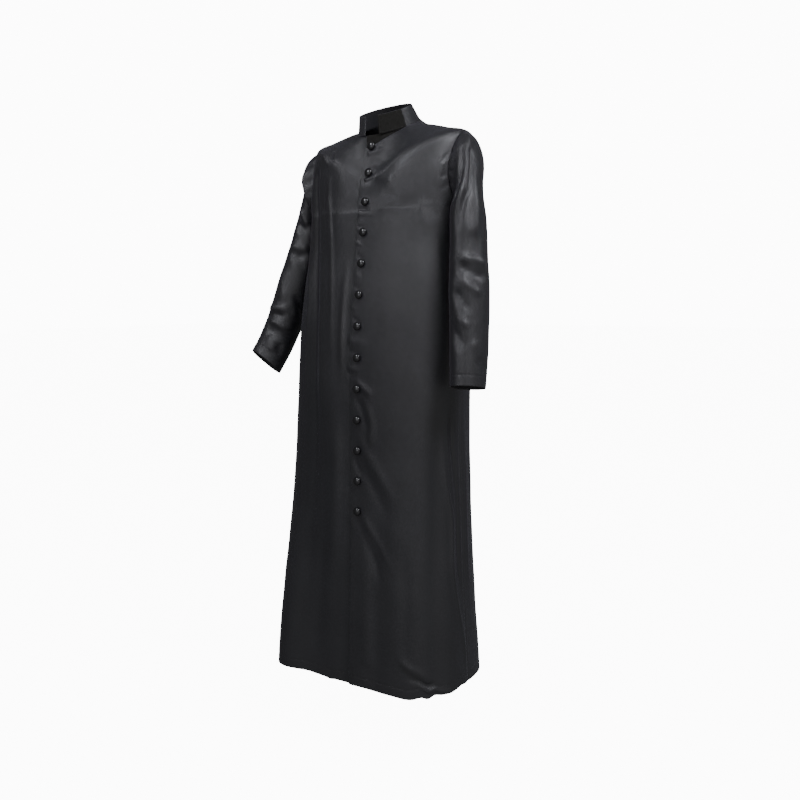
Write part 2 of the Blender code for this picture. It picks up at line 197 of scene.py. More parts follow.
class BodyForm:
    """The cloth's outer surface round the body."""

    ANGLE_STEP = 2.0
    LEVEL_STEP = 0.2
    FRONT_REACH = 60.0

    def __init__(self) -> None:
        """Read the rings."""
        self.table = Table(BODY_RINGS)

    @staticmethod
    def fold_depth(angle: np.ndarray, z: np.ndarray) -> np.ndarray:
        """Depth of the large folds.

        Args:
            angle: angles about the body.
            z: heights.

        Returns:
            How far the cloth lies inside the plain form.
        """
        depth = np.zeros(np.broadcast(angle, z).shape)
        for top_angle, hem_angle, spread, deep, top_z, full_z in FOLDS:
            along = (z - top_z) / (HEM_Z - top_z)
            apart = (angle - top_angle - along * (hem_angle - top_angle) + 180.0) % 360.0 - 180.0
            reach = np.where(along > 0.0, smooth_step(top_z, full_z, z), 0.0)
            depth = depth + deep * reach * np.exp(-(apart / spread) ** 2)
        return depth

    def surface(self, angle: np.ndarray, level: np.ndarray) -> np.ndarray:
        """Points of the surface.

        Args:
            angle: angles about the body.
            level: levels.

        Returns:
            Array of points.
        """
        (front_z, side_z, back_z, power, shift, centre_y,
         half_width, front_depth, back_depth, square) = np.moveaxis(self.table.at(level), -1, 0)
        sine, cosine = np.sin(np.radians(angle)), np.cos(np.radians(angle))
        depth = np.where(cosine > 0.0, front_depth, back_depth)
        end_z = np.where(cosine > 0.0, front_z, back_z)
        z = side_z + (end_z - side_z) * np.abs(cosine) ** power
        radius = (np.abs(sine / half_width) ** square + np.abs(cosine / depth) ** square) ** (-1.0 / square)
        radius = radius - self.fold_depth(angle, z)
        return np.stack([shift + radius * sine, centre_y - radius * cosine, z], axis=-1)

    def normal(self, angle: np.ndarray, level: np.ndarray) -> np.ndarray:
        """Outward directions square to the surface.

        Args:
            angle: angles about the body.
            level: levels.

        Returns:
            Array of unit vectors.
        """
        across = (self.surface(angle + self.ANGLE_STEP, level)
                  - self.surface(angle - self.ANGLE_STEP, level))
        down = (self.surface(angle, np.minimum(level + self.LEVEL_STEP, HEM_LEVEL))
                - self.surface(angle, np.maximum(level - self.LEVEL_STEP, 0.0)))
        return unit(np.cross(down, across))

    def point(self, angle: np.ndarray, level: np.ndarray, sink: np.ndarray) -> np.ndarray:
        """Points below the surface."""
        return self.surface(angle, level) - self.normal(angle, level) * np.asarray(sink)[..., None]

    def front_angle(self, x: float, level: np.ndarray) -> np.ndarray:
        """Angles where the front reaches a sideways position."""
        low, high = np.full(np.shape(level), -self.FRONT_REACH), np.full(np.shape(level), self.FRONT_REACH)
        return halve(low, high, lambda angle: self.surface(angle, level)[..., 0] < x)

    def level_at(self, angle: np.ndarray, z: np.ndarray) -> np.ndarray:
        """Levels that pass through heights."""
        low, high = np.zeros(np.shape(z)), np.full(np.shape(z), HEM_LEVEL)
        return halve(low, high, lambda level: self.surface(angle, level)[..., 2] > z)


FRONT_SWING, BACK_SWING = 17.0, 18.0
SEAM_GAP = 0.0003
ARMHOLE_GAP = 0.0004
SLEEVE_TURNS = 96


def armhole_shares() -> np.ndarray:
    """Shares of the way down an armhole, spaced as on a round hole."""
    return (1.0 - np.cos(np.linspace(0.0, math.pi, SLEEVE_TURNS // 2 + 1))) / 2.0


def armhole_angle(level: np.ndarray, swing: float) -> np.ndarray:
    """How far an armhole's edge lies from the side."""
    share = np.clip((level - TIP_LEVEL) / (ARMPIT_LEVEL - TIP_LEVEL), 0.0, 1.0)
    return swing * 2.0 * np.sqrt(share * (1.0 - share))


class SleeveForm:
    """The cloth's outer surface round one arm."""

    SHARE_STEP = 0.02

    def __init__(self, body: BodyForm, side: float, sections: Any) -> None:
        """Loft the surface from the armhole through the sections.

        Args:
            body: form that the armhole is cut from.
            side: 1 for the wearer's left, -1 for the right.
            sections: rows of centre x, y, z, lean, swing, half width across and half depth.
        """
        self.side = side
        levels = TIP_LEVEL + (ARMPIT_LEVEL - TIP_LEVEL) * armhole_shares()
        front = body.surface(side * (90.0 - armhole_angle(levels, FRONT_SWING)), levels)
        rear = body.surface(side * (90.0 + armhole_angle(levels, BACK_SWING)), levels)
        loop = np.concatenate([front, rear[-2:0:-1]]) + np.array((side * ARMHOLE_GAP, 0.0, 0.0))
        rings = [loop] + [self.section(row) for row in sections]
        self.table = Table([ring.ravel() for ring in rings])
        self.rows = len(sections)

    def section(self, row: Sequence[float]) -> np.ndarray:
        """Points round one section.

        Args:
            row: the section's numbers.

        Returns:
            Array of points, from the outer side to the front.
        """
        x, y, z, lean, swing, half_across, half_depth = row
        lean, swing = math.radians(lean), math.radians(swing)
        outward = np.array((self.side * math.sin(lean), 0.0, math.cos(lean)))
        forward = np.array((0.0, -math.cos(swing), math.sin(swing)))
        turn = np.linspace(0.0, 2.0 * math.pi, SLEEVE_TURNS, endpoint=False)[:, None]
        return (np.array((x, y, z)) + outward * half_across * np.cos(turn)
                + forward * half_depth * np.sin(turn))

    def grid(self, shares: np.ndarray) -> np.ndarray:
        """Rings of points along the sleeve."""
        return self.table.at(self.rows * shares).reshape(len(shares), SLEEVE_TURNS, 3)

    def surface(self, turn: np.ndarray, share: np.ndarray) -> np.ndarray:
        """Points of the surface.

        Args:
            turn: turns about the arm, in degrees.
            share: shares of the way along the sleeve.

        Returns:
            Array of points.
        """
        rings = self.grid(share)
        place = np.asarray(turn) / 360.0 * SLEEVE_TURNS
        whole = np.floor(place).astype(int)
        part = (place - whole)[:, None]
        rows = np.arange(len(rings))
        return (rings[rows, whole % SLEEVE_TURNS] * (1.0 - part)
                + rings[rows, (whole + 1) % SLEEVE_TURNS] * part)

    def normal(self, turn: np.ndarray, share: np.ndarray) -> np.ndarray:
        """Outward directions square to the surface.

        Args:
            turn: turns about the arm, in degrees.
            share: shares of the way along the sleeve.

        Returns:
            Array of unit vectors.
        """
        middle = self.grid(share).mean(axis=1)
        point = self.surface(turn, share)
        along = unit(self.surface(turn, np.minimum(share + self.SHARE_STEP, 1.0))
                     - self.surface(turn, np.maximum(share - self.SHARE_STEP, 0.0)))
        out = point - middle
        return unit(out - along * (out * along).sum(axis=-1, keepdims=True))


# ---------------------------------------------------------------------------------------
# Creases
# ---------------------------------------------------------------------------------------


@dataclass(frozen=True)
class Crease:
    """A soft trough (depth above 0) or ridge (below 0) along a path on a form.

    The path's numbers are angle and height on the body, and turn and share on a sleeve.
    """

    depth: float
    width: float
    path: Path
    fade_in: float = 0.3
    fade_out: float = 0.3


class CreaseField:
    """Creases laid on a form, read as a height at any point near it."""

    SAMPLES = 96

    def __init__(self, creases: Sequence[Crease], place: Callable[[np.ndarray, np.ndarray], tuple]) -> None:
        """Lay the creases.

        Args:
            creases: the creases.
            place: gives points and outward directions for arrays of path numbers.
        """
        self.laid = []
        for index, crease in enumerate(creases):
            rows = Table(crease.path)
            first, second = np.moveaxis(rows.at(np.linspace(0.0, rows.last, self.SAMPLES)), -1, 0)
            points, normals = place(first, second)
            tangents = unit(np.gradient(points, axis=0))
            self.laid.append((crease, index, points, tangents, unit(np.cross(normals, tangents))))

    def height(self, points: np.ndarray) -> np.ndarray:
        """Height of the cloth above the plain form.

        Args:
            points: array of points.

        Returns:
            Heights, below 0 in a trough.
        """
        flat = points.reshape(-1, 3)
        total = np.zeros(len(flat))
        for crease, index, path, tangents, sides in self.laid:
            reach = 3.0 * crease.width
            near = np.all((flat > path.min(0) - reach) & (flat < path.max(0) + reach), axis=1)
            chosen = np.nonzero(near)[0]
            if len(chosen) == 0:
                continue
            offsets = flat[chosen, None, :] - path[None, :, :]
            nearest = (offsets**2).sum(axis=-1).argmin(axis=1)
            offset = offsets[np.arange(len(chosen)), nearest]
            spacing = np.linalg.norm(np.gradient(path, axis=0), axis=-1)
            ahead = (offset * tangents[nearest]).sum(axis=-1) / spacing[nearest]
            spot = np.clip(nearest + np.clip(ahead, -0.7, 0.7), 0.0, self.SAMPLES - 1.0)
            low = np.minimum(spot.astype(int), self.SAMPLES - 2)
            part = (spot - low)[:, None]
            offset = flat[chosen] - (path[low] * (1.0 - part) + path[low + 1] * part)
            side = sides[low] * (1.0 - part) + sides[low + 1] * part
            across = (offset * side).sum(axis=-1) / crease.width
            beyond = (spot <= 0.0) | (spot >= self.SAMPLES - 1.0)
            past = np.where(beyond, (offset * tangents[nearest]).sum(axis=-1) / (1.5 * crease.width), 0.0)
            t = spot / (self.SAMPLES - 1.0)
            strength = np.ones(len(chosen))
            if crease.fade_in:
                strength *= smooth_step(0.0, crease.fade_in, t)
            if crease.fade_out:
                strength *= smooth_step(1.0, 1.0 - crease.fade_out, t)
            strength *= 1.0 + 0.22 * np.sin(7.0 * t + 2.3 * index)
            total[chosen] -= crease.depth * strength * np.exp(-across**2 - past**2)
        return total.reshape(points.shape[:-1])


BODY_CREASES = (
    # Right chest: the long fold from the shoulder, and the finer lines beside it
    Crease(0.0075, 0.0130, ((-67, -0.075), (-64, -0.173), (-58, -0.285), (-46, -0.471), (-42, -0.67),
                            (-38, -0.927)), 0.08, 0.4),
    Crease(-0.0030, 0.0080, ((-75, -0.100), (-74, -0.170), (-68, -0.285), (-57, -0.422),
                             (-53, -0.674)), 0.1),
    Crease(-0.0022, 0.0070, ((-53, -0.105), (-47, -0.189), (-38, -0.288), (-28, -0.422),
                             (-22, -0.640)), 0.1),
    Crease(-0.0012, 0.0035, ((-50, -0.165), (-47, -0.190), (-44, -0.215))),
    Crease(0.0010, 0.0040, ((-44, -0.200), (-40, -0.235), (-35, -0.280)), 0.3, 0.4),
    Crease(0.0034, 0.0045, ((-64, -0.042), (-57, -0.064), (-51, -0.082))),
    Crease(-0.0018, 0.0045, ((-67, -0.050), (-60, -0.074), (-54, -0.095))),
    Crease(-0.0025, 0.009, ((-15, -0.30), (-14, -0.42), (-13, -0.52), (-12, -0.64))),
    Crease(-0.0022, 0.010, ((-74, -0.13), (-70, -0.20), (-66, -0.28))),
    # Left chest: drags from the first buttons
    Crease(-0.0022, 0.0055, ((-8, -0.074), (9, -0.072), (28, -0.066)), 0.05),
    Crease(0.0022, 0.010, ((-4, -0.097), (16, -0.102), (38, -0.107)), 0.25, 0.5),
    Crease(-0.0022, 0.0050, ((-6, -0.139), (3, -0.135), (13, -0.130)), 0.1),
    Crease(-0.0018, 0.012, ((10, -0.128), (26, -0.140), (40, -0.146))),
    Crease(0.0016, 0.0042, ((-9, -0.204), (0, -0.208), (12, -0.211)), 0.05),
    Crease(-0.0014, 0.0060, ((-8, -0.216), (3, -0.219), (18, -0.222)), 0.05, 0.6),
    Crease(0.0014, 0.012, ((22, -0.174), (32, -0.178), (44, -0.182))),
    Crease(-0.0010, 0.014, ((20, -0.200), (34, -0.206), (50, -0.206))),
    Crease(0.0010, 0.0045, ((-6, -0.246), (-1, -0.250), (6, -0.256)), 0.05, 0.6),
    Crease(-0.0009, 0.0050, ((-7, -0.250), (-2, -0.258), (3, -0.266)), 0.3, 0.5),
    Crease(-0.0012, 0.0050, ((-6, -0.285), (0, -0.289), (7, -0.297)), 0.05, 0.6),
    Crease(0.0010, 0.0050, ((-5, -0.310), (1, -0.317), (10, -0.331)), 0.3, 0.5),
    Crease(-0.0009, 0.0060, ((-4, -0.356), (3, -0.366), (9, -0.381)), 0.3, 0.6),
    Crease(0.0011, 0.0052, ((-5, -0.386), (3, -0.392), (13, -0.404)), 0.1, 0.6),
    Crease(-0.0010, 0.0050, ((-6, -0.434), (0, -0.440), (6, -0.448)), 0.1, 0.6),
    Crease(0.0010, 0.0055, ((-3, -0.462), (5, -0.470), (14, -0.486)), 0.3, 0.5),
    Crease(-0.0020, 0.0100, ((-6, -0.518), (6, -0.521), (22, -0.532)), 0.1, 0.6),
    Crease(0.0015, 0.0085, ((-6, -0.545), (4, -0.547), (18, -0.556)), 0.2, 0.6),
    Crease(-0.0020, 0.0065, ((-6, -0.585), (4, -0.587), (16, -0.594)), 0.1, 0.5),
    Crease(0.0015, 0.0055, ((-6, -0.600), (2, -0.602), (10, -0.609)), 0.1, 0.6),
    Crease(-0.0026, 0.0085, ((2, -0.608), (15, -0.630), (28, -0.654))),
    Crease(0.0022, 0.0100, ((6, -0.650), (16, -0.690), (22, -0.745))),
    Crease(-0.0022, 0.0110, ((18, -0.660), (26, -0.720), (24, -0.790))),
    Crease(0.0018, 0.0080, ((4, -0.790), (12, -0.828), (20, -0.860))),
    Crease(0.0009, 0.0070, ((-4, -0.876), (4, -0.884), (12, -0.896)), 0.3, 0.5),
    Crease(-0.0009, 0.0070, ((-4, -0.948), (5, -0.962), (13, -0.989)), 0.3, 0.5),
    # Left armhole
    Crease(0.0022, 0.0035, ((75, -0.092), (72, -0.098), (69, -0.112)), 0.05),
    Crease(-0.0016, 0.0040, ((76, -0.104), (72, -0.112), (69, -0.126)), 0.05),
    Crease(0.0022, 0.0035, ((75, -0.134), (72, -0.138), (68, -0.144)), 0.05),
    Crease(0.0018, 0.0040, ((76, -0.158), (72, -0.164), (67, -0.178)), 0.05),
    Crease(0.0012, 0.0080, ((60, -0.182), (65, -0.210), (69, -0.250))),
    Crease(-0.0010, 0.0100, ((55, -0.190), (59, -0.224), (64, -0.275))),
    Crease(-0.0014, 0.014, ((66, -0.24), (70, -0.34), (72, -0.46), (74, -0.62))),
    # Left skirt: slanting folds, and the fold that runs down to the side
    Crease(-0.0022, 0.013, ((8, -0.725), (20, -0.785), (34, -0.84), (49, -0.93))),
    Crease(0.0018, 0.012, ((6, -0.770), (20, -0.835), (34, -0.90), (44, -0.97))),
    Crease(-0.0020, 0.009, ((17, -0.935), (27, -0.98), (36, -1.02), (46, -1.085))),
    Crease(0.0018, 0.011, ((8, -0.930), (20, -0.99), (32, -1.06), (38, -1.13))),
    Crease(-0.0046, 0.0060, ((73, -0.70), (76, -0.846), (80, -0.955), (79.5, -1.06), (81, -1.123),
                             (87, -1.258), (90, -1.36)), 0.25, 0.1),
    Crease(0.0050, 0.0085, ((80, -0.66), (82, -0.77), (85.5, -0.90), (85, -1.01), (86, -1.10),
                            (91, -1.20)), 0.2),
    Crease(-0.0035, 0.0100, ((92, -0.62), (96, -0.817), (95, -0.95), (95, -1.07), (98, -1.25)), 0.2),
    Crease(0.0030, 0.0100, ((103, -0.70), (104, -0.90), (104, -1.10), (105, -1.33)), 0.2, 0.1),
    Crease(-0.0024, 0.018, ((24, -1.02), (26, -1.18), (27, -1.34)), 0.4, 0.1),
    Crease(0.0024, 0.016, ((50, -0.98), (52, -1.14), (50, -1.32)), 0.4, 0.2),
    # Left hem corner
    Crease(-0.0036, 0.0070, ((46, -1.285), (55, -1.315), (63, -1.335))),
    Crease(0.0034, 0.0065, ((50, -1.325), (58, -1.345), (68, -1.362))),
    Crease(-0.0030, 0.0060, ((55, -1.352), (64, -1.368), (74, -1.380)), 0.3, 0.0),
    Crease(-0.0026, 0.0080, ((76, -1.310), (82, -1.345), (86, -1.385)), 0.4, 0.0),
    # Right skirt
    Crease(0.0026, 0.022, ((-33, -0.62), (-29, -0.87), (-25, -1.10), (-24, -1.36)), 0.2, 0.1),
    Crease(-0.0022, 0.018, ((-16, -0.68), (-14, -0.90), (-13, -1.12)), 0.3, 0.3),
    Crease(-0.0024, 0.016, ((-46, -0.58), (-45, -0.78), (-43, -1.02)), 0.3, 0.3),
    Crease(0.0024, 0.014, ((-84, -0.36), (-80, -0.60), (-72, -0.88)), 0.2, 0.2),
    Crease(-0.0022, 0.013, ((-70, -0.62), (-66, -0.84), (-60, -1.10)), 0.2, 0.3),
    Crease(0.0022, 0.0070, ((-88, -0.24), (-80, -0.29), (-70, -0.33)), 0.1),
    Crease(-0.0020, 0.0080, ((-88, -0.27), (-79, -0.32), (-70, -0.37)), 0.1),
    # Back
    Crease(0.0024, 0.012, ((150, -0.09), (157, -0.20), (160, -0.33), (158, -0.46))),
    Crease(-0.0022, 0.012, ((143, -0.10), (149, -0.22), (152, -0.36))),
    Crease(0.0026, 0.012, ((213, -0.10), (206, -0.22), (202, -0.36), (203, -0.50))),
    Crease(-0.0022, 0.013, ((220, -0.12), (213, -0.25), (210, -0.40))),
    Crease(0.0026, 0.008, ((104, -0.235), (118, -0.285), (134, -0.305)), 0.1),
    Crease(-0.0022, 0.009, ((104, -0.262), (118, -0.314), (138, -0.340)), 0.1),
    Crease(0.0026, 0.008, ((256, -0.235), (244, -0.290), (226, -0.320)), 0.1),
    Crease(-0.0022, 0.009, ((256, -0.264), (240, -0.322), (222, -0.350)), 0.1),
    Crease(0.0022, 0.0040, ((107, -0.120), (112, -0.128), (118, -0.130)), 0.05),
    Crease(0.0020, 0.0040, ((253, -0.118), (247, -0.128), (240, -0.134)), 0.05),
    Crease(0.0030, 0.018, ((168, -0.52), (171, -0.80), (170, -1.10), (169, -1.36)), 0.3, 0.0),
    Crease(-0.0030, 0.018, ((160, -0.56), (160, -0.85), (158, -1.15)), 0.3, 0.3),
    Crease(0.0032, 0.018, ((193, -0.50), (191, -0.78), (193, -1.08), (196, -1.34)), 0.3, 0.1),
    Crease(-0.0030, 0.018, ((201, -0.60), (201, -0.92), (204, -1.22)), 0.3, 0.3),
    Crease(0.0030, 0.016, ((134, -0.62), (131, -0.90), (128, -1.20)), 0.3, 0.2),
    Crease(0.0030, 0.016, ((229, -0.58), (232, -0.88), (236, -1.24)), 0.3, 0.2),
    Crease(-0.0026, 0.014, ((258, -0.48), (259, -0.78), (262, -1.12)), 0.3, 0.2),
)

LEFT_SLEEVE_CREASES = (
    Crease(-0.0042, 0.0080, ((14, 0.03), (26, 0.12), (44, 0.21), (58, 0.29), (82, 0.355), (100, 0.42)), 0.1),
    Crease(0.0050, 0.0060, ((28, 0.14), (33, 0.24), (42, 0.33), (70, 0.39), (99, 0.512)), 0.15),
    Crease(0.0042, 0.0065, ((46, 0.08), (66, 0.19), (94, 0.31), (118, 0.40)), 0.1),
    Crease(-0.0030, 0.0070, ((62, 0.10), (88, 0.22), (112, 0.33))),
    Crease(-0.0032, 0.0130, ((12, 0.26), (24, 0.38), (40, 0.48), (60, 0.53))),
    Crease(-0.0044, 0.0091, ((98, 0.575), (75, 0.588), (47, 0.594), (14, 0.600), (-14, 0.588))),
    Crease(0.0049, 0.0091, ((96, 0.606), (76, 0.615), (54, 0.626), (24, 0.634), (-6, 0.628))),
    Crease(-0.0038, 0.0078, ((94, 0.640), (71, 0.656), (44, 0.676), (20, 0.690))),
    Crease(0.0047, 0.0123, ((112, 0.664), (92, 0.688), (74, 0.710), (50, 0.738))),
    Crease(-0.0032, 0.0078, ((100, 0.742), (80, 0.760), (56, 0.782))),
    Crease(0.0042, 0.0143, ((126, 0.762), (108, 0.786), (90, 0.818), (72, 0.862))),
    Crease(-0.0025, 0.0117, ((56, 0.820), (34, 0.845), (8, 0.880))),
    Crease(0.0021, 0.0104, ((36, 0.872), (14, 0.905), (-8, 0.925))),
    # Under and behind the arm
    Crease(0.0040, 0.0080, ((200, 0.34), (232, 0.42), (272, 0.46))),
    Crease(-0.0034, 0.0080, ((196, 0.39), (232, 0.47), (268, 0.51))),
    Crease(0.0046, 0.0080, ((164, 0.56), (206, 0.60), (252, 0.60), (290, 0.58))),
    Crease(-0.0040, 0.0080, ((168, 0.60), (208, 0.64), (252, 0.64), (288, 0.62))),
    Crease(0.0042, 0.0085, ((160, 0.70), (200, 0.71), (244, 0.69), (284, 0.66))),
    Crease(-0.0034, 0.0085, ((166, 0.77), (206, 0.77), (246, 0.75))),
    Crease(0.0030, 0.0090, ((250, 0.80), (284, 0.84), (316, 0.90))),
    # Armhole
    Crease(0.0024, 0.0034, ((60, 0.0), (60, 0.05), (58, 0.10)), 0.0, 0.6),
    Crease(0.0026, 0.0034, ((76, 0.0), (77, 0.05), (74, 0.12)), 0.0, 0.6),
    Crease(0.0022, 0.0032, ((91, 0.0), (93, 0.06), (92, 0.13)), 0.0, 0.6),
    Crease(0.0026, 0.0036, ((108, 0.0), (111, 0.05), (112, 0.11)), 0.0, 0.6),
    Crease(0.0024, 0.0036, ((246, 0.0), (246, 0.06), (249, 0.12)), 0.0, 0.6),
    Crease(0.0024, 0.0034, ((272, 0.0), (270, 0.05), (272, 0.10)), 0.0, 0.6),
    Crease(0.0022, 0.0034, ((296, 0.0), (295, 0.06), (298, 0.10)), 0.0, 0.6),
)

RIGHT_SLEEVE_CREASES = (
    Crease(0.0036, 0.0060, ((78, 0.0), (84, 0.05), (92, 0.12)), 0.0, 0.5),
    Crease(-0.0030, 0.0075, ((64, 0.02), (70, 0.12), (80, 0.22))),
    Crease(0.0028, 0.0100, ((102, 0.12), (120, 0.19), (132, 0.29), (140, 0.36)), 0.3),
    Crease(-0.0038, 0.0097, ((58, 0.315), (86, 0.345), (108, 0.358), (130, 0.366))),
    Crease(0.0047, 0.0104, ((58, 0.375), (76, 0.392), (100, 0.412), (128, 0.430))),
    Crease(-0.0027, 0.0117, ((54, 0.430), (78, 0.450), (104, 0.470))),
    Crease(-0.0042, 0.0104, ((66, 0.524), (90, 0.519), (118, 0.515), (148, 0.508))),
    Crease(0.0042, 0.0104, ((68, 0.556), (92, 0.552), (118, 0.548), (152, 0.538))),
    Crease(0.0029, 0.0091, ((96, 0.552), (120, 0.572), (146, 0.598))),
    Crease(-0.0032, 0.0143, ((56, 0.600), (72, 0.640), (90, 0.682), (110, 0.724))),
    Crease(0.0038, 0.0097, ((126, 0.672), (150, 0.698), (178, 0.728), (208, 0.752))),
    Crease(-0.0049, 0.0104, ((44, 0.764), (66, 0.757), (90, 0.750), (112, 0.744), (140, 0.733))),
    Crease(0.0049, 0.0088, ((52, 0.788), (76, 0.780), (102, 0.772), (134, 0.762))),
    Crease(-0.0040, 0.0081, ((60, 0.806), (88, 0.806), (112, 0.808), (140, 0.812), (176, 0.804))),
    Crease(0.0051, 0.0123, ((76, 0.852), (100, 0.850), (126, 0.846), (160, 0.842), (204, 0.832))),
    Crease(-0.0032, 0.0123, ((96, 0.874), (112, 0.898), (126, 0.925), (136, 0.955))),
    Crease(0.0023, 0.0104, ((140, 0.880), (154, 0.915), (166, 0.955))),
    # Outer and back side
    Crease(0.0040, 0.0080, ((236, 0.34), (270, 0.40), (310, 0.44))),
    Crease(-0.0034, 0.0080, ((236, 0.39), (272, 0.45), (310, 0.49))),
    Crease(0.0044, 0.0080, ((214, 0.54), (252, 0.58), (296, 0.58))),
    Crease(-0.0038, 0.0080, ((214, 0.58), (254, 0.62), (298, 0.62))),
    Crease(0.0042, 0.0085, ((226, 0.68), (268, 0.68), (312, 0.66), (350, 0.66))),
    Crease(-0.0034, 0.0085, ((230, 0.74), (272, 0.74), (316, 0.72))),
    Crease(0.0030, 0.0090, ((290, 0.80), (322, 0.84), (352, 0.90))),
    Crease(-0.0026, 0.0100, ((340, 0.30), (352, 0.40), (372, 0.48))),
    # Armhole
    Crease(0.0024, 0.0034, ((50, 0.0), (50, 0.05), (48, 0.10)), 0.0, 0.6),
    Crease(0.0022, 0.0034, ((100, 0.0), (103, 0.05), (106, 0.11)), 0.0, 0.6),
    Crease(0.0024, 0.0036, ((250, 0.0), (250, 0.06), (253, 0.12)), 0.0, 0.6),
    Crease(0.0022, 0.0034, ((278, 0.0), (276, 0.05), (279, 0.10)), 0.0, 0.6),
    Crease(0.0022, 0.0034, ((302, 0.0), (300, 0.06), (302, 0.11)), 0.0, 0.6),
)


def ripple(points: np.ndarray, scale: float) -> np.ndarray:
    """Slight unevenness that all worn cloth has.

    Args:
        points: array of points.
        scale: largest height.

    Returns:
        Heights.
    """
    x, y, z = np.moveaxis(points, -1, 0)
    waves = ((31.0, 12.0, 7.0, 0.4), (47.0, -39.0, 11.0, 1.9), (-22.0, 58.0, 17.0, 4.2),
             (73.0, 41.0, -23.0, 2.7), (18.0, 25.0, 46.0, 5.1))
    total = sum(np.sin(a * x + b * y + c * z + phase) for a, b, c, phase in waves)
    return scale * total / len(waves)


# ---------------------------------------------------------------------------------------
# Shaders
# ---------------------------------------------------------------------------------------


class Signal:
    """A shader value that takes ordinary arithmetic."""

    def __init__(self, tree: "NodeMaker", socket: bpy.types.NodeSocket) -> None:
        """Keep the socket."""
        self.tree = tree
        self.socket = socket

    def _math(self, operation: str, *values: Any) -> "Signal":
        """Join values with a Math node."""
        return self.tree.value("ShaderNodeMath", {"operation": operation}, dict(enumerate(values)))

    def __add__(self, other: Any) -> "Signal":
        """Sum."""
        return self._math("ADD", self, other)

    __radd__ = __add__

    def __mul__(self, other: Any) -> "Signal":
        """Product."""
        return self._math("MULTIPLY", self, other)

    __rmul__ = __mul__

    def __sub__(self, other: Any) -> "Signal":
        """Difference."""
        return self._math("SUBTRACT", self, other)

    def __rsub__(self, other: Any) -> "Signal":
        """Difference from a plain number."""
        return self._math("SUBTRACT", other, self)

    def sine(self) -> "Signal":
        """Sine of the value in radians."""
        return self._math("SINE", self)

    def clamped(self, low: float, high: float) -> "Signal":
        """Value kept between two limits."""
        return self._math("MINIMUM", self._math("MAXIMUM", self, low), high)


class NodeMaker:
    """A tree's nodes: a material's, the world's or a geometry group's."""

    def __init__(self, tree: bpy.types.NodeTree) -> None:
        """Empty the tree."""
        self.tree = tree
        tree.nodes.clear()

    def node(self, kind: str, settings: dict[str, Any], inputs: dict[Any, Any]) -> bpy.types.Node:
        """Add a node.

        Args:
            kind: node type.
            settings: its properties.
            inputs: values or signals by input name or index.

        Returns:
            The node.
        """
        made = self.tree.nodes.new(kind)
        for name, value in settings.items():
            setattr(made, name, value)
        for name, value in inputs.items():
            if isinstance(value, Signal):
                self.tree.links.new(value.socket, made.inputs[name])
            elif isinstance(value, bpy.types.NodeSocket):
                self.tree.links.new(value, made.inputs[name])
            else:
                made.inputs[name].default_value = value
        return made

    def value(self, kind: str, settings: dict[str, Any], inputs: dict[Any, Any], output: Any = 0) -> Signal:
        """Add a node and take one output."""
        return Signal(self, self.node(kind, settings, inputs).outputs[output])

    def noise(self, vector: Any, scale: float, detail: float) -> Signal:
        """Add a noise texture."""
        inputs = {"Vector": vector, "Scale": scale, "Detail": detail}
        return self.value("ShaderNodeTexNoise", {}, inputs, "Fac")


class MaterialMaker:
    """A new material with a principled shader."""

    def __init__(self, name: str) -> None:
        """Start the material.

        Args:
            name: its name.
        """
        self.material = bpy.data.materials.new(name)
        self.material.use_nodes = True
        self.tree = NodeMaker(self.material.node_tree)
        self.place = self.tree.value("ShaderNodeTexCoord", {}, {}, "Object")

    def bump(self, height: Signal) -> Signal:
        """Fine relief."""
        inputs = {"Strength": 1.0, "Distance": 1.0, "Height": height}
        return self.tree.value("ShaderNodeBump", {}, inputs, "Normal")

    def mixed(self, tone: Signal, dark: Colour, light: Colour) -> Signal:
        """Colour between two."""
        return self.tree.value("ShaderNodeMix", {"data_type": "RGBA"},
                               {0: tone, 6: (*dark, 1.0), 7: (*light, 1.0)}, 2)

    def finished(self, inputs: dict[str, Any]) -> bpy.types.Material:
        """Close the material.

        Args:
            inputs: the shader's values by input name.

        Returns:
            The material.
        """
        shader = self.tree.node("ShaderNodeBsdfPrincipled", {}, inputs)
        self.tree.node("ShaderNodeOutputMaterial", {}, {"Surface": shader.outputs[0]})
        return self.material


@dataclass(frozen=True)
class Finish:
    """A cloth's constants."""

    name: str
    dark: Colour
    light: Colour
    roughness: float
    roughness_change: float
    specular: float
    sheen: float
    sheen_roughness: float
    sheen_tint: Colour
    thread: float
    thread_depth: float
    pile_depth: float


SATIN = Finish("black_satin", (0.0100, 0.0098, 0.0122), (0.0150, 0.0147, 0.0178), 0.38, 0.05, 0.60,
               0.10, 0.40, (0.78, 0.78, 0.92), 0.00050, 0.00004, 0.00008)
THREAD = Finish("black_thread", (0.010, 0.010, 0.012), (0.016, 0.016, 0.018), 0.55, 0.05, 0.5,
                0.2, 0.5, (0.8, 0.8, 0.85), 0.00030, 0.00003, 0.00002)
TAPE = Finish("matte_tape", (0.0090, 0.0086, 0.0078), (0.0135, 0.0130, 0.0118), 0.93, 0.04, 0.12,
              0.04, 0.75, (0.6, 0.58, 0.54), 0.0009, 0.00010, 0.00060)


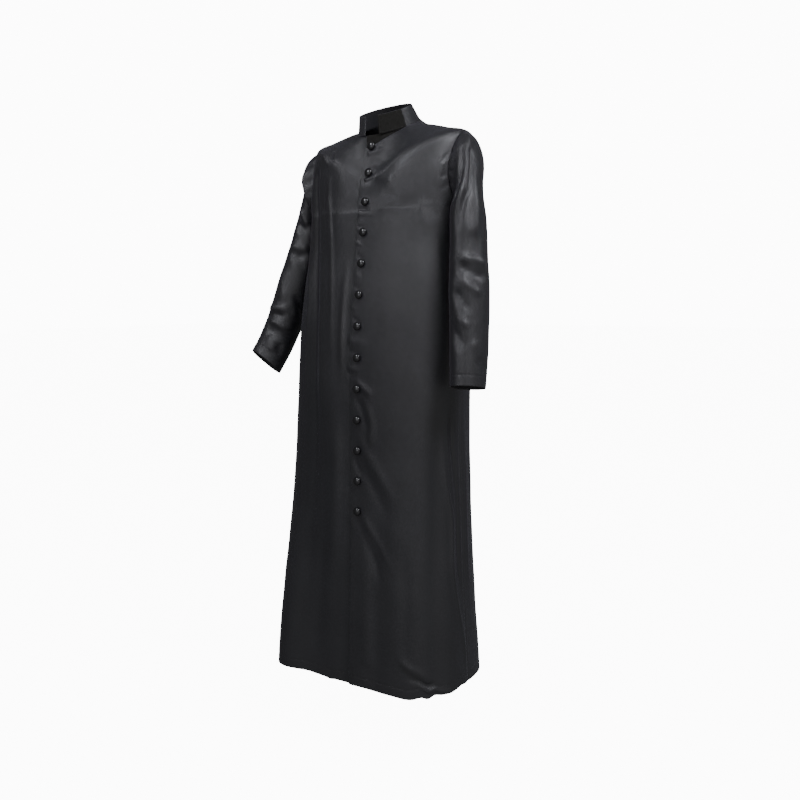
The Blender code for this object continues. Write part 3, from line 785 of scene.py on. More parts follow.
def cloth_material(finish: Finish) -> bpy.types.Material:
    """Woven cloth: fine slanting twill, uneven tone and a soft sheen.

    Args:
        finish: the cloth's constants.

    Returns:
        The material.
    """
    maker = MaterialMaker(finish.name)
    tree, place = maker.tree, maker.place
    uv = tree.value("ShaderNodeUVMap", {"uv_map": UV_NAME}, {}, "UV")
    axes = tree.node("ShaderNodeSeparateXYZ", {}, {0: uv})
    across, down = Signal(tree, axes.outputs[0]), Signal(tree, axes.outputs[1])
    cloudy = tree.noise(place, 9.0, 3.0)
    fine = tree.noise(place, 900.0, 2.0)
    turns = 2.0 * math.pi / finish.thread
    twill = ((across * turns) + (down * (turns * 0.6)) + (fine * 1.2)).sine()
    yarn = ((down * (turns * 0.31)) - (across * (turns * 0.12))).sine()
    weave = (twill * finish.thread_depth) + (yarn * (finish.thread_depth * 0.4))
    pile = (fine * finish.pile_depth) + (tree.noise(place, 60.0, 4.0) * (finish.pile_depth * 2.5))
    tone = ((cloudy - 0.5) * 1.4 + 0.5 + (twill * 0.12)).clamped(0.0, 1.0)
    dull = tree.value("ShaderNodeAttribute", {"attribute_name": DULL_SIDE}, {}, "Fac")
    rough = ((tree.noise(place, 5.0, 2.0) - 0.5) * (2.0 * finish.roughness_change)
             + (fine - 0.5) * 0.05 + dull * (DULL_ROUGHNESS - finish.roughness) + finish.roughness)
    return maker.finished({
        "Base Color": maker.mixed(tone, finish.dark, finish.light), "Roughness": rough.clamped(0.05, 1.0),
        "Normal": maker.bump(weave + pile), "Specular IOR Level": finish.specular,
        "Sheen Weight": finish.sheen, "Sheen Roughness": finish.sheen_roughness,
        "Sheen Tint": (*finish.sheen_tint, 1.0)})


def button_material() -> bpy.types.Material:
    """Polished black resin with faint wear.

    Returns:
        The material.
    """
    maker = MaterialMaker("black_resin")
    cloudy = maker.tree.noise(maker.place, 160.0, 3.0)
    scratch = maker.tree.noise(maker.place, 1400.0, 2.0)
    return maker.finished({
        "Base Color": maker.mixed(cloudy, (0.005, 0.005, 0.006), (0.010, 0.010, 0.011)),
        "Roughness": 0.025 + (cloudy * 0.04) + (scratch * 0.02),
        "Normal": maker.bump((cloudy * 0.00002) + (scratch * 0.000002)),
        "Specular IOR Level": 0.5, "Coat Weight": 0.25, "Coat Roughness": 0.03})


def floor_material() -> bpy.types.Material:
    """Plain pale floor.

    Returns:
        The material.
    """
    maker = MaterialMaker("pale_floor")
    return maker.finished({
        "Base Color": (0.85, 0.85, 0.85, 1.0),
        "Roughness": maker.tree.noise(maker.place, 3.0, 2.0) * 0.1 + 0.8,
        "Specular IOR Level": 0.1, "Emission Color": (1.0, 1.0, 1.0, 1.0), "Emission Strength": FLOOR_GLOW})


# ---------------------------------------------------------------------------------------
# Meshes
# ---------------------------------------------------------------------------------------


def grid_normals(points: np.ndarray, ring: bool) -> np.ndarray:
    """Outward directions of a grid whose rows go down and columns go round.

    Args:
        points: array of rows, columns and x, y, z.
        ring: whether each row closes on itself.

    Returns:
        Array of unit vectors.
    """
    if ring:
        across = np.roll(points, -1, axis=1) - np.roll(points, 1, axis=1)
    else:
        across = np.gradient(points, axis=1)
    return unit(np.cross(np.gradient(points, axis=0), across))


def finish_piece(name: str, mesh: bpy.types.Mesh, material: bpy.types.Material) -> bpy.types.Object:
    """Link a finished mesh, with its material, to the garment's body.

    Args:
        name: piece's name.
        mesh: its mesh.
        material: its material.

    Returns:
        The object.
    """
    mesh.materials.clear()
    mesh.materials.append(material)
    mesh.shade_smooth()
    piece = bpy.data.objects.new(name, mesh)
    bpy.context.scene.collection.objects.link(piece)
    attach(piece, "root")
    return piece


class ClothWall:
    """Closed cloth wall below a grid of outer points, with rounded edges."""

    EDGE_BULGE = 0.45

    def __init__(self, outer: np.ndarray, thickness: float, ring: bool = False) -> None:
        """Keep the outer grid and lay the inner one below it.

        Args:
            outer: outer points by row, column and x, y, z.
            thickness: the wall's thickness.
            ring: whether each row closes on itself.
        """
        self.outer = outer
        self.ring = ring
        self.thickness = thickness
        self.normals = grid_normals(outer, ring)
        self.inner = outer - self.normals * thickness

    def _rims(self) -> list[tuple[np.ndarray, np.ndarray]]:
        """Edge loops as (row, column) pairs with the direction that leads off the cloth.

        Returns:
            A list of index arrays and direction arrays.
        """
        rows, columns = self.outer.shape[:2]
        middle = (self.outer + self.inner) / 2.0
        if self.ring:
            each = np.arange(columns)
            return [(np.stack([np.full(columns, row), each], 1), unit(middle[row] - middle[beside]))
                    for row, beside in ((0, 1), (rows - 1, rows - 2))]
        top = [(0, c) for c in range(columns - 1)]
        right = [(r, columns - 1) for r in range(rows - 1)]
        bottom = [(rows - 1, c) for c in range(columns - 1, 0, -1)]
        left = [(r, 0) for r in range(rows - 1, 0, -1)]
        loop = np.array(top + right + bottom + left)
        up = np.where(loop[:, 0] == 0, 1, np.where(loop[:, 0] == rows - 1, -1, 0))
        out = np.where(loop[:, 1] == 0, 1, np.where(loop[:, 1] == columns - 1, -1, 0))
        here = middle[loop[:, 0], loop[:, 1]]
        lead = np.zeros_like(here)
        for step in (np.stack([up, 0 * up], 1), np.stack([0 * out, out], 1)):
            beside = middle[loop[:, 0] + step[:, 0], loop[:, 1] + step[:, 1]]
            moved = np.abs(step).sum(axis=1, keepdims=True) > 0
            lead += np.where(moved, unit(here - beside), 0.0)
        return [(loop, unit(lead))]

    def mesh(self, name: str) -> bpy.types.Mesh:
        """Build the closed mesh with its flat-cloth coordinates.

        Args:
            name: mesh's name.

        Returns:
            The mesh.
        """
        rows, columns = self.outer.shape[:2]
        size = rows * columns
        index = np.arange(size).reshape(rows, columns)
        around = np.concatenate([self.outer, self.outer[:, :1]], axis=1) if self.ring else self.outer
        u = run_along(around, 1)
        uv = np.stack([u - u[:, -1:] / 2.0, run_along(around, 0)], axis=-1)
        ids = np.concatenate([index, index[:, :1]], axis=1) if self.ring else index
        corners = [(slice(0, -1), slice(0, -1)), (slice(1, None), slice(0, -1)),
                   (slice(1, None), slice(1, None)), (slice(0, -1), slice(1, None))]
        quads = np.stack([ids[c] for c in corners], -1).reshape(-1, 4)
        quad_uv = np.stack([uv[c] for c in corners], -2).reshape(-1, 4, 2)
        faces = [quads, quads[:, ::-1] + size]
        face_uv = [quad_uv, quad_uv[:, ::-1]]
        points = [self.outer.reshape(-1, 3), self.inner.reshape(-1, 3)]
        count = 2 * size
        for number, (loop, lead) in enumerate(self._rims()):
            flat = index[loop[:, 0], loop[:, 1]]
            centre = (self.outer[loop[:, 0], loop[:, 1]] + self.inner[loop[:, 0], loop[:, 1]]) / 2.0
            points.append(centre + lead * self.thickness * self.EDGE_BULGE)
            rim = np.arange(count, count + len(flat))
            count += len(flat)
            own_uv = uv[loop[:, 0], loop[:, 1]]
            for upper, lower in ((flat, rim), (rim, flat + size)):
                strip = np.stack([upper, np.roll(upper, -1), np.roll(lower, -1), lower], -1)
                strip_uv = np.stack([own_uv, np.roll(own_uv, -1, 0), np.roll(own_uv, -1, 0), own_uv], -2)
                turned = self.ring and number == 1
                faces.append(strip[:, ::-1] if turned else strip)
                face_uv.append(strip_uv[:, ::-1] if turned else strip_uv)
        vertices = np.concatenate(points)
        polygons = np.concatenate(faces)
        coordinates = np.concatenate(face_uv)
        volume = np.einsum("ij,ij->", vertices[polygons[:, 0]],
                           np.cross(vertices[polygons[:, 1]], vertices[polygons[:, 2]])
                           + np.cross(vertices[polygons[:, 2]], vertices[polygons[:, 3]]))
        if volume < 0.0:
            polygons, coordinates = polygons[:, ::-1], coordinates[:, ::-1]
        made = bpy.data.meshes.new(name)
        made.from_pydata(vertices.tolist(), [], polygons.tolist())
        dull = made.attributes.new(DULL_SIDE, "FLOAT", "POINT")
        dull.data.foreach_set("value", np.repeat([0.0, 1.0, 0.4], [size, size, len(vertices) - 2 * size]))
        layer = made.uv_layers.new(name=UV_NAME)
        layer.data.foreach_set("uv", np.ascontiguousarray(coordinates, np.float32).ravel())
        made.validate()
        return made

    def area(self) -> float:
        """Area of the outer face.

        Returns:
            Square metres.
        """
        points = np.concatenate([self.outer, self.outer[:, :1]], axis=1) if self.ring else self.outer
        across, down = points[:, 1:] - points[:, :-1], points[1:] - points[:-1]
        return float(np.linalg.norm(np.cross(across[:-1], down[:, :-1]), axis=-1).sum())


# ---------------------------------------------------------------------------------------
# Stitches
# ---------------------------------------------------------------------------------------


@dataclass(frozen=True)
class StitchSize:
    """Sizes of a row of stitches."""

    pitch: float = 0.0034
    length: float = 0.0024
    radius: float = 0.00022
    seed: int = 7


class StitchMaker:
    """Rows of stitches laid by one node tree."""

    def __init__(self, material: bpy.types.Material) -> None:
        """Build the node tree.

        Args:
            material: thread's material.
        """
        self.material = material
        group = bpy.data.node_groups.new("stitch_row", "GeometryNodeTree")
        face = group.interface
        face.new_socket("Geometry", in_out="INPUT", socket_type="NodeSocketGeometry")
        face.new_socket("Stitch Length", in_out="INPUT", socket_type="NodeSocketFloat")
        face.new_socket("Thread Radius", in_out="INPUT", socket_type="NodeSocketFloat")
        face.new_socket("Seed", in_out="INPUT", socket_type="NodeSocketInt")
        face.new_socket("Material", in_out="INPUT", socket_type="NodeSocketMaterial")
        face.new_socket("Geometry", in_out="OUTPUT", socket_type="NodeSocketGeometry")
        self.group = group
        tree = NodeMaker(group)
        source = tree.node("NodeGroupInput", {}, {})
        along, out = (tree.node("GeometryNodeInputNamedAttribute", {"data_type": "FLOAT_VECTOR"},
                                {"Name": name}) for name in ("along", "out"))
        first = tree.node("FunctionNodeAlignRotationToVector", {"axis": "X"}, {"Vector": along.outputs[0]})
        turned = tree.node("FunctionNodeAlignRotationToVector", {"axis": "Z", "pivot_axis": "X"},
                            {"Rotation": first.outputs[0], "Vector": out.outputs[0]})
        uneven = tree.node("FunctionNodeRandomValue", {"data_type": "FLOAT"},
                            {2: 0.44, 3: 0.56, "Seed": source.outputs["Seed"]})
        half = tree.node("ShaderNodeMath", {"operation": "MULTIPLY"},
                          {0: source.outputs["Stitch Length"], 1: uneven.outputs[1]})
        radius = source.outputs["Thread Radius"]
        size = tree.node("ShaderNodeCombineXYZ", {}, {0: half.outputs[0], 1: radius, 2: radius})
        bead = tree.node("GeometryNodeMeshUVSphere", {}, {"Segments": 8, "Rings": 5, "Radius": 1.0})
        placed = tree.node("GeometryNodeInstanceOnPoints", {}, {
            "Points": source.outputs["Geometry"], "Instance": bead.outputs["Mesh"],
            "Rotation": turned.outputs[0], "Scale": size.outputs[0]})
        real = tree.node("GeometryNodeRealizeInstances", {}, {"Geometry": placed.outputs[0]})
        painted = tree.node("GeometryNodeSetMaterial", {}, {"Geometry": real.outputs[0],
                                                             "Material": source.outputs["Material"]})
        tree.node("NodeGroupOutput", {}, {0: painted.outputs[0]})

    def row(self, line: np.ndarray, normals: np.ndarray, size: StitchSize) -> tuple[np.ndarray, ...]:
        """Space stitches along a line.

        Args:
            line: points of the line on the cloth.
            normals: outward directions at those points.
            size: stitch sizes.

        Returns:
            Stitch centres, directions along the line and outward directions.
        """
        gone = run_along(line, 0)
        places = np.arange(size.pitch / 2.0, gone[-1], size.pitch)
        centres = np.stack([np.interp(places, gone, line[:, k]) for k in range(3)], 1)
        out = unit(np.stack([np.interp(places, gone, normals[:, k]) for k in range(3)], 1))
        return centres + out * size.radius * 0.4, unit(np.gradient(centres, axis=0)), out

    def make(self, name: str, rows: Sequence[tuple[np.ndarray, ...]], size: StitchSize,
             slot: Slot) -> bpy.types.Object:
        """Lay rows of stitches as one piece.

        Args:
            name: piece's name.
            rows: results of row().
            size: stitch sizes.
            slot: not used.

        Returns:
            The piece.
        """
        centres, along, out = (np.concatenate(part) for part in zip(*rows))
        seeds = bpy.data.meshes.new(name + "_points")
        seeds.from_pydata(centres.tolist(), [], [])
        for label, values in (("along", along), ("out", out)):
            attribute = seeds.attributes.new(label, "FLOAT_VECTOR", "POINT")
            attribute.data.foreach_set("vector", np.ascontiguousarray(values, np.float32).ravel())
        holder = bpy.data.objects.new(name + "_points", seeds)
        bpy.context.scene.collection.objects.link(holder)
        modifier = holder.modifiers.new("stitches", "NODES")
        modifier.node_group = self.group
        wanted = {"Stitch Length": size.length, "Thread Radius": size.radius, "Seed": size.seed,
                  "Material": self.material}
        for item in self.group.interface.items_tree:
            if item.in_out == "INPUT" and item.name in wanted:
                modifier[item.identifier] = wanted[item.name]
        depsgraph = bpy.context.evaluated_depsgraph_get()
        depsgraph.update()
        mesh = bpy.data.meshes.new_from_object(holder.evaluated_get(depsgraph), depsgraph=depsgraph)
        bpy.data.objects.remove(holder)
        mesh.name = name
        return finish_piece(name, mesh, self.material)


# ---------------------------------------------------------------------------------------
# Garment pieces
# ---------------------------------------------------------------------------------------


@dataclass(frozen=True)
class ClothSize:
    """Sizes that the pieces share."""

    wall: float = 0.002
    tape: float = 0.001
    layer_gap: float = 0.0012
    lap: float = 0.021
    underlap: float = 0.050
    underlap_blend: float = 0.070
    droop_start: float = 70.0
    droop: float = 0.01
    seam_tuck: float = 0.0007
    seam_width: float = 0.0040
    hem_fold: float = 0.024
    hem_groove: float = 0.0006
    hem_groove_width: float = 0.0022
    ripple: float = 0.0011


@dataclass(frozen=True)
class Cut:
    """Flat size of a sheet of cloth before it was sewn."""

    width: float
    length: float
    area: float


# Hem: where its edge rises (+) or drops (-): angle, half width in degrees and height
HEM_WAVES = (
    (57.0, 2.6, 0.0040), (61.5, 2.2, -0.0026), (65.5, 2.4, 0.0034), (50.0, 5.0, -0.0030),
    (20.0, 9.0, 0.0020), (-9.5, 3.0, -0.0022), (-30.0, 8.0, 0.0026), (-55.0, 8.0, -0.0018),
    (84.0, 5.0, 0.0030), (110.0, 8.0, -0.0030), (134.0, 9.0, 0.0030), (160.0, 8.0, -0.0026),
    (186.0, 9.0, 0.0026), (214.0, 8.0, -0.0030), (240.0, 9.0, 0.0028), (268.0, 8.0, -0.0024),
)


# Rows of the grids; below the fine level they lie closer, for the hem's groove
YOKE_ROWS, SKIRT_ROWS, HEM_ROWS = 31, 232, 24
FINE_LEVEL = HEM_LEVEL - 0.25
SLEEVE_ROWS, CUFF_ROWS, CUFF_SHARE = 132, 20, 0.94


def panel_shares() -> tuple[np.ndarray, np.ndarray]:
    """Rows of a body panel: shares of the yoke, and the levels below it.

    Returns:
        Shares from 0 to 1 of the way to the shoulder tip, and levels from the tip down.
    """
    yoke = np.linspace(0.0, 1.0, YOKE_ROWS)[:-1]
    armhole = TIP_LEVEL + (ARMPIT_LEVEL - TIP_LEVEL) * armhole_shares()
    skirt = np.linspace(ARMPIT_LEVEL, FINE_LEVEL, SKIRT_ROWS)[1:]
    hem = np.linspace(FINE_LEVEL, HEM_LEVEL, HEM_ROWS)[1:]
    return yoke, np.concatenate([armhole, skirt, hem])


class BodyPanels:
    """The two fronts and the back."""

    LEFT_COLUMNS, RIGHT_COLUMNS, BACK_COLUMNS = 93, 101, 131
    HEM_REACH = 0.16
    SEAM_CALM = 0.7
    TAPE_ANGLES = (-12.0, 60.0)
    TAPE_LEVEL = 0.80
    TAPE_COLUMNS, TAPE_ROWS = 61, 19

    def __init__(self, body: BodyForm, field: CreaseField, size: ClothSize) -> None:
        """Keep the form and the creases.

        Args:
            body: the body's form.
            field: its creases.
            size: shared sizes.
        """
        self.body = body
        self.field = field
        self.size = size

    def levels(self, top: np.ndarray) -> np.ndarray:
        """Levels of a panel's grid.

        Args:
            top: level of the panel's top edge at each column.

        Returns:
            Array of rows and columns.
        """
        yoke, below = panel_shares()
        upper = top[None, :] + (TIP_LEVEL - top[None, :]) * yoke[:, None]
        return np.concatenate([upper, np.repeat(below[:, None], len(top), axis=1)])

    def edge(self, level: np.ndarray, swing: float) -> np.ndarray:
        """Angle from the side to a panel's edge."""
        seam = np.degrees(SEAM_GAP / 2.0 / self.body.table.at(level)[..., 6])
        return np.maximum(armhole_angle(level, swing), seam)

    def shaped(self, points: np.ndarray, angle: np.ndarray, tucks: tuple[bool, bool]) -> np.ndarray:
        """Crease a grid, tuck its seams in and fold its hem.

        Args:
            points: plain grid.
            angle: angles about the body of its points.
            tucks: whether the first and the last column are seams.

        Returns:
            The worn grid.
        """
        size = self.size
        height = self.field.height(points) + ripple(points, size.ripple)
        run = run_along(points, 1)
        for is_seam, distance in zip(tucks, (run, run[:, -1:] - run)):
            near = np.exp(-(distance / size.seam_width) ** 2)
            if is_seam:
                height = height * (1.0 - self.SEAM_CALM * near) - size.seam_tuck * near
        above = points[..., 2] - HEM_Z
        height = height - size.hem_groove * np.exp(-((above - size.hem_fold) / size.hem_groove_width) ** 2)
        made = points + grid_normals(points, False) * height[..., None]
        lift = np.zeros(angle.shape)
        for centre, spread, rise in HEM_WAVES:
            apart = (angle - centre + 180.0) % 360.0 - 180.0
            lift += rise * np.exp(-(apart / spread) ** 2)
        made[..., 2] += lift * smooth_step(self.HEM_REACH, 0.0, above)
        return made

    def left(self) -> np.ndarray:
        """Left front, which laps over.

        Returns:
            Outer grid.
        """
        columns = np.linspace(0.0, 1.0, self.LEFT_COLUMNS)
        rows = self.levels(np.zeros(1))[:, 0]
        start = self.body.front_angle(-self.size.lap, np.maximum(rows, 1.0))
        angle = (start[:, None] + (90.0 - start)[:, None] * columns
                 - self.edge(rows, FRONT_SWING)[:, None] * columns**3)
        droop = np.maximum(self.size.droop_start - angle, 0.0) * self.size.droop
        yoke = len(panel_shares()[0])
        level = np.repeat(rows[:, None], len(columns), axis=1)
        share = panel_shares()[0][:, None]
        level[:yoke] = droop[:yoke] + (TIP_LEVEL - droop[:yoke]) * share
        return self.shaped(self.body.surface(angle, level), angle, (False, True))

    def right(self) -> np.ndarray:
        """Right front, which passes under the left.

        Returns:
            Outer grid.
        """
        size = self.size
        columns = np.linspace(0.0, 1.0, self.RIGHT_COLUMNS)
        rows = self.levels(np.zeros(1))[:, 0]
        end = self.body.front_angle(size.underlap - size.lap, rows)
        angle = (-90.0 + (end + 90.0)[:, None] * columns
                 + self.edge(rows, FRONT_SWING)[:, None] * (1.0 - columns) ** 3)
        level = np.repeat(rows[:, None], len(columns), axis=1)
        sideways = self.body.surface(angle, level)[..., 0]
        under = smooth_step(-size.lap - size.underlap_blend, -size.lap, sideways)
        sink = (size.wall + 2.0 * size.layer_gap + size.tape) * under
        return self.shaped(self.body.point(angle, level, sink), angle, (True, False))

    def back(self) -> np.ndarray:
        """Back between the side seams.

        Returns:
            Outer grid.
        """
        columns = np.linspace(0.0, 1.0, self.BACK_COLUMNS)
        rows = self.levels(np.zeros(1))[:, 0]
        angle = (90.0 + 180.0 * columns
                 + self.edge(rows, BACK_SWING)[:, None] * ((1.0 - columns) ** 3 - columns**3))
        level = np.repeat(rows[:, None], len(columns), axis=1)
        return self.shaped(self.body.surface(angle, level), angle, (True, True))

    def neck_tape(self) -> np.ndarray:
        """Matte tape on the underlap below the collar's gap.

        Returns:
            Outer grid.
        """
        angle, level = np.meshgrid(np.linspace(*self.TAPE_ANGLES, self.TAPE_COLUMNS),
                                   np.linspace(0.0, self.TAPE_LEVEL, self.TAPE_ROWS))
        points = self.body.point(angle, level, np.full(angle.shape, self.size.wall + self.size.layer_gap))
        height = self.field.height(points) + ripple(points, self.size.ripple)
        return points + grid_normals(points, False) * height[..., None]


def line_above_edge(grid: np.ndarray, distance: float) -> np.ndarray:
    """Line across a grid at a distance from its last row.

    Args:
        grid: points by row, column and x, y, z.
        distance: distance along the cloth.

    Returns:
        Points of the line, one at each column.
    """
    upward = grid[::-1]
    run = run_along(upward, 0)
    return np.array([[np.interp(distance, run[:, c], upward[:, c, k]) for k in range(3)]
                     for c in range(grid.shape[1])])


def sleeve_grid(form: SleeveForm, field: CreaseField, size: ClothSize) -> np.ndarray:
    """Outer grid of a sleeve with its creases, seam and hem.

    Args:
        form: the sleeve's form.
        field: its creases.
        size: shared sizes.

    Returns:
        Outer grid, with columns that go round outwards.
    """
    shares = np.concatenate([np.linspace(0.0, CUFF_SHARE, SLEEVE_ROWS),
                             np.linspace(CUFF_SHARE, 1.0, CUFF_ROWS)[1:]])
    points = form.grid(shares)
    if form.side > 0:
        points = points[:, ::-1]
    height = field.height(points) + ripple(points * 1.7, size.ripple * 0.8)
    run = run_along(points, 0)
    near = np.exp(-(run / size.seam_width) ** 2)
    height = height * (1.0 - 0.45 * near) - 0.8 * size.seam_tuck * near
    above = run[-1:] - run
    height -= size.hem_groove * np.exp(-((above - size.hem_fold) / size.hem_groove_width) ** 2)
    return points + grid_normals(points, True) * height[..., None]


class Collar:
    """Standing collar, and the matte tape on its front end."""

    HEIGHT = 0.040
    TOP_RADIUS = 0.066
    GAP_ANGLE = 16.0
    SEAM = -0.0010
    TAPE_SHARE = 4.0 / 26.0

    def point(self, angle: np.ndarray, share: np.ndarray, out: float) -> np.ndarray:
        """Points of the collar.

        Args:
            angle: angles about the neck.
            share: shares of the collar's height.
            out: distance outside the collar's face.

        Returns:
            Array of points.
        """
        front_z, side_z, back_z, _, shift, centre_y, half_width = BODY_RINGS[0][:7]
        tilt = math.atan2(back_z - front_z, 2.0 * half_width)
        rise = np.array((0.0, -math.sin(tilt), math.cos(tilt)))
        slope = np.array((0.0, math.cos(tilt), math.sin(tilt)))
        uneven = 0.0004 * np.sin(np.radians(angle) * 5.0 + 1.0) * share
        radius = half_width + (self.TOP_RADIUS - half_width) * share + out + uneven
        turn = np.radians(angle)
        around = (np.stack([np.sin(turn), 0.0 * turn, 0.0 * turn], -1)
                  - slope * (np.cos(turn) / math.cos(tilt) ** (1.0 - share))[..., None])
        return (np.array((shift, centre_y, side_z)) + around * radius[..., None]
                + rise * (self.SEAM + self.HEIGHT * share)[..., None])

    def grid(self, part: float, out: float, columns: int, rows: int) -> np.ndarray:
        """Grid over a part of the collar from its front end.

        Args:
            part: share of the way round.
            out: distance outside the collar's face.
            columns: number of columns.
            rows: number of rows.

        Returns:
            Outer grid.
        """
        end = self.GAP_ANGLE + (360.0 - 2.0 * self.GAP_ANGLE) * part
        angle = np.repeat(np.linspace(self.GAP_ANGLE, end, columns)[None, :], rows, axis=0)
        share = np.repeat(np.linspace(1.0, 0.0, rows)[:, None], columns, axis=1)
        return self.point(angle, share, out)


class Buttons:
    """Domed shank buttons down the left front."""

    COUNT = 13
    RADIUS = 0.0103
    DOME = 0.0062
    EDGE = 0.0014
    SHANK_RADIUS = 0.0030
    SHANK = 0.0026
    FIRST_Z = -0.058
    PITCH = 0.0755
    PITCH_TOP = 0.064
    PITCH_EASE = 1.8
    SEGMENTS = 48

    def heights(self) -> list[float]:
        """Heights of the buttons.

        Returns:
            Heights from the top down.
        """
        heights = [self.FIRST_Z]
        for k in range(self.COUNT - 1):
            heights.append(heights[-1] - self.PITCH
                           + (self.PITCH - self.PITCH_TOP) * math.exp(-k / self.PITCH_EASE))
        return heights

    def profile(self) -> np.ndarray:
        """Outline from the shank's foot to the top of the dome, as radius and height.

        Returns:
            Array of pairs, without the two points on the axis.
        """
        lip = self.SHANK + self.EDGE
        points = [(self.SHANK_RADIUS * 0.9, 0.0), (self.SHANK_RADIUS, 0.0003),
                  (self.SHANK_RADIUS, self.SHANK - 0.0006), (self.SHANK_RADIUS + 0.0006, self.SHANK),
                  (self.RADIUS - 0.0010, self.SHANK), (self.RADIUS - 0.0002, self.SHANK + 0.0003),
                  (self.RADIUS, self.SHANK + 0.0008), (self.RADIUS - 0.00015, lip)]
        for k in range(1, 12):
            turn = math.pi / 2.0 * k / 12
            points.append((self.RADIUS * math.cos(turn), lip + self.DOME * math.sin(turn)))
        return np.array(points)

    def mesh(self, name: str, centre: np.ndarray, lean: float) -> bpy.types.Mesh:
        """Turn the outline about the button's axis and set it on the cloth.

        Args:
            name: mesh's name.
            centre: foot of the shank.
            lean: how far the cloth leans back from upright, in radians.

        Returns:
            The mesh.
        """
        outline = self.profile()
        turn = np.linspace(0.0, 2.0 * math.pi, self.SEGMENTS, endpoint=False)
        axis = np.array((0.0, -math.cos(lean), math.sin(lean)))
        aside, up = np.array((1.0, 0.0, 0.0)), np.array((0.0, math.sin(lean), math.cos(lean)))
        ring = aside * np.cos(turn)[:, None] + up * np.sin(turn)[:, None]
        points = centre + outline[:, 0, None, None] * ring + outline[:, 1, None, None] * axis
        rows = len(outline)
        index = np.arange(rows * self.SEGMENTS).reshape(rows, self.SEGMENTS)
        after = np.roll(index, -1, axis=1)
        faces = np.stack([index[:-1], after[:-1], after[1:], index[1:]], -1).reshape(-1, 4).tolist()
        foot, top = rows * self.SEGMENTS, rows * self.SEGMENTS + 1
        faces += [(foot, b, a) for a, b in zip(index[0].tolist(), after[0].tolist())]
        faces += [(top, a, b) for a, b in zip(index[-1].tolist(), after[-1].tolist())]
        ends = [centre, centre + axis * (self.SHANK + self.EDGE + self.DOME)]
        mesh = bpy.data.meshes.new(name)
        mesh.from_pydata(points.reshape(-1, 3).tolist() + [tuple(end) for end in ends], [], faces)
        mesh.validate()
        return mesh


LEFT_SLEEVE_SECTIONS = (
    (0.2245, -0.002, -0.133, 8.0, 0.0, 0.078, 0.064),
    (0.233, -0.014, -0.155, 17.0, 0.0, 0.062, 0.057),
    (0.2385, -0.040, -0.196, 50.0, 3.0, 0.042, 0.050),
    (0.247, -0.050, -0.252, 78.0, 4.0, 0.041, 0.048),
    (0.251, -0.055, -0.312, 85.0, 4.0, 0.043, 0.047),
    (0.257, -0.063, -0.402, 86.0, 6.0, 0.046, 0.050),
    (0.263, -0.073, -0.492, 86.0, 9.0, 0.045, 0.049),
    (0.268, -0.085, -0.566, 86.0, 11.0, 0.043, 0.046),
    (0.271, -0.094, -0.622, 86.0, 12.0, 0.041, 0.044),
)
RIGHT_SLEEVE_SECTIONS = (
    (-0.2290, -0.002, -0.133, 6.5, 0.0, 0.078, 0.064),
    (-0.2350, 0.004, -0.151, 14.0, 0.0, 0.055, 0.055),
    (-0.2510, 0.008, -0.197, 41.0, 0.0, 0.041, 0.053),
    (-0.265, 0.006, -0.245, 66.0, 2.0, 0.042, 0.051),
    (-0.279, -0.006, -0.305, 70.0, 4.0, 0.044, 0.051),
    (-0.304, -0.019, -0.390, 70.0, 6.0, 0.047, 0.052),
    (-0.327, -0.034, -0.470, 70.0, 12.0, 0.046, 0.050),
    (-0.347, -0.055, -0.535, 68.0, 24.0, 0.044, 0.046),
    (-0.364, -0.080, -0.588, 65.0, 38.0, 0.042, 0.045),
)


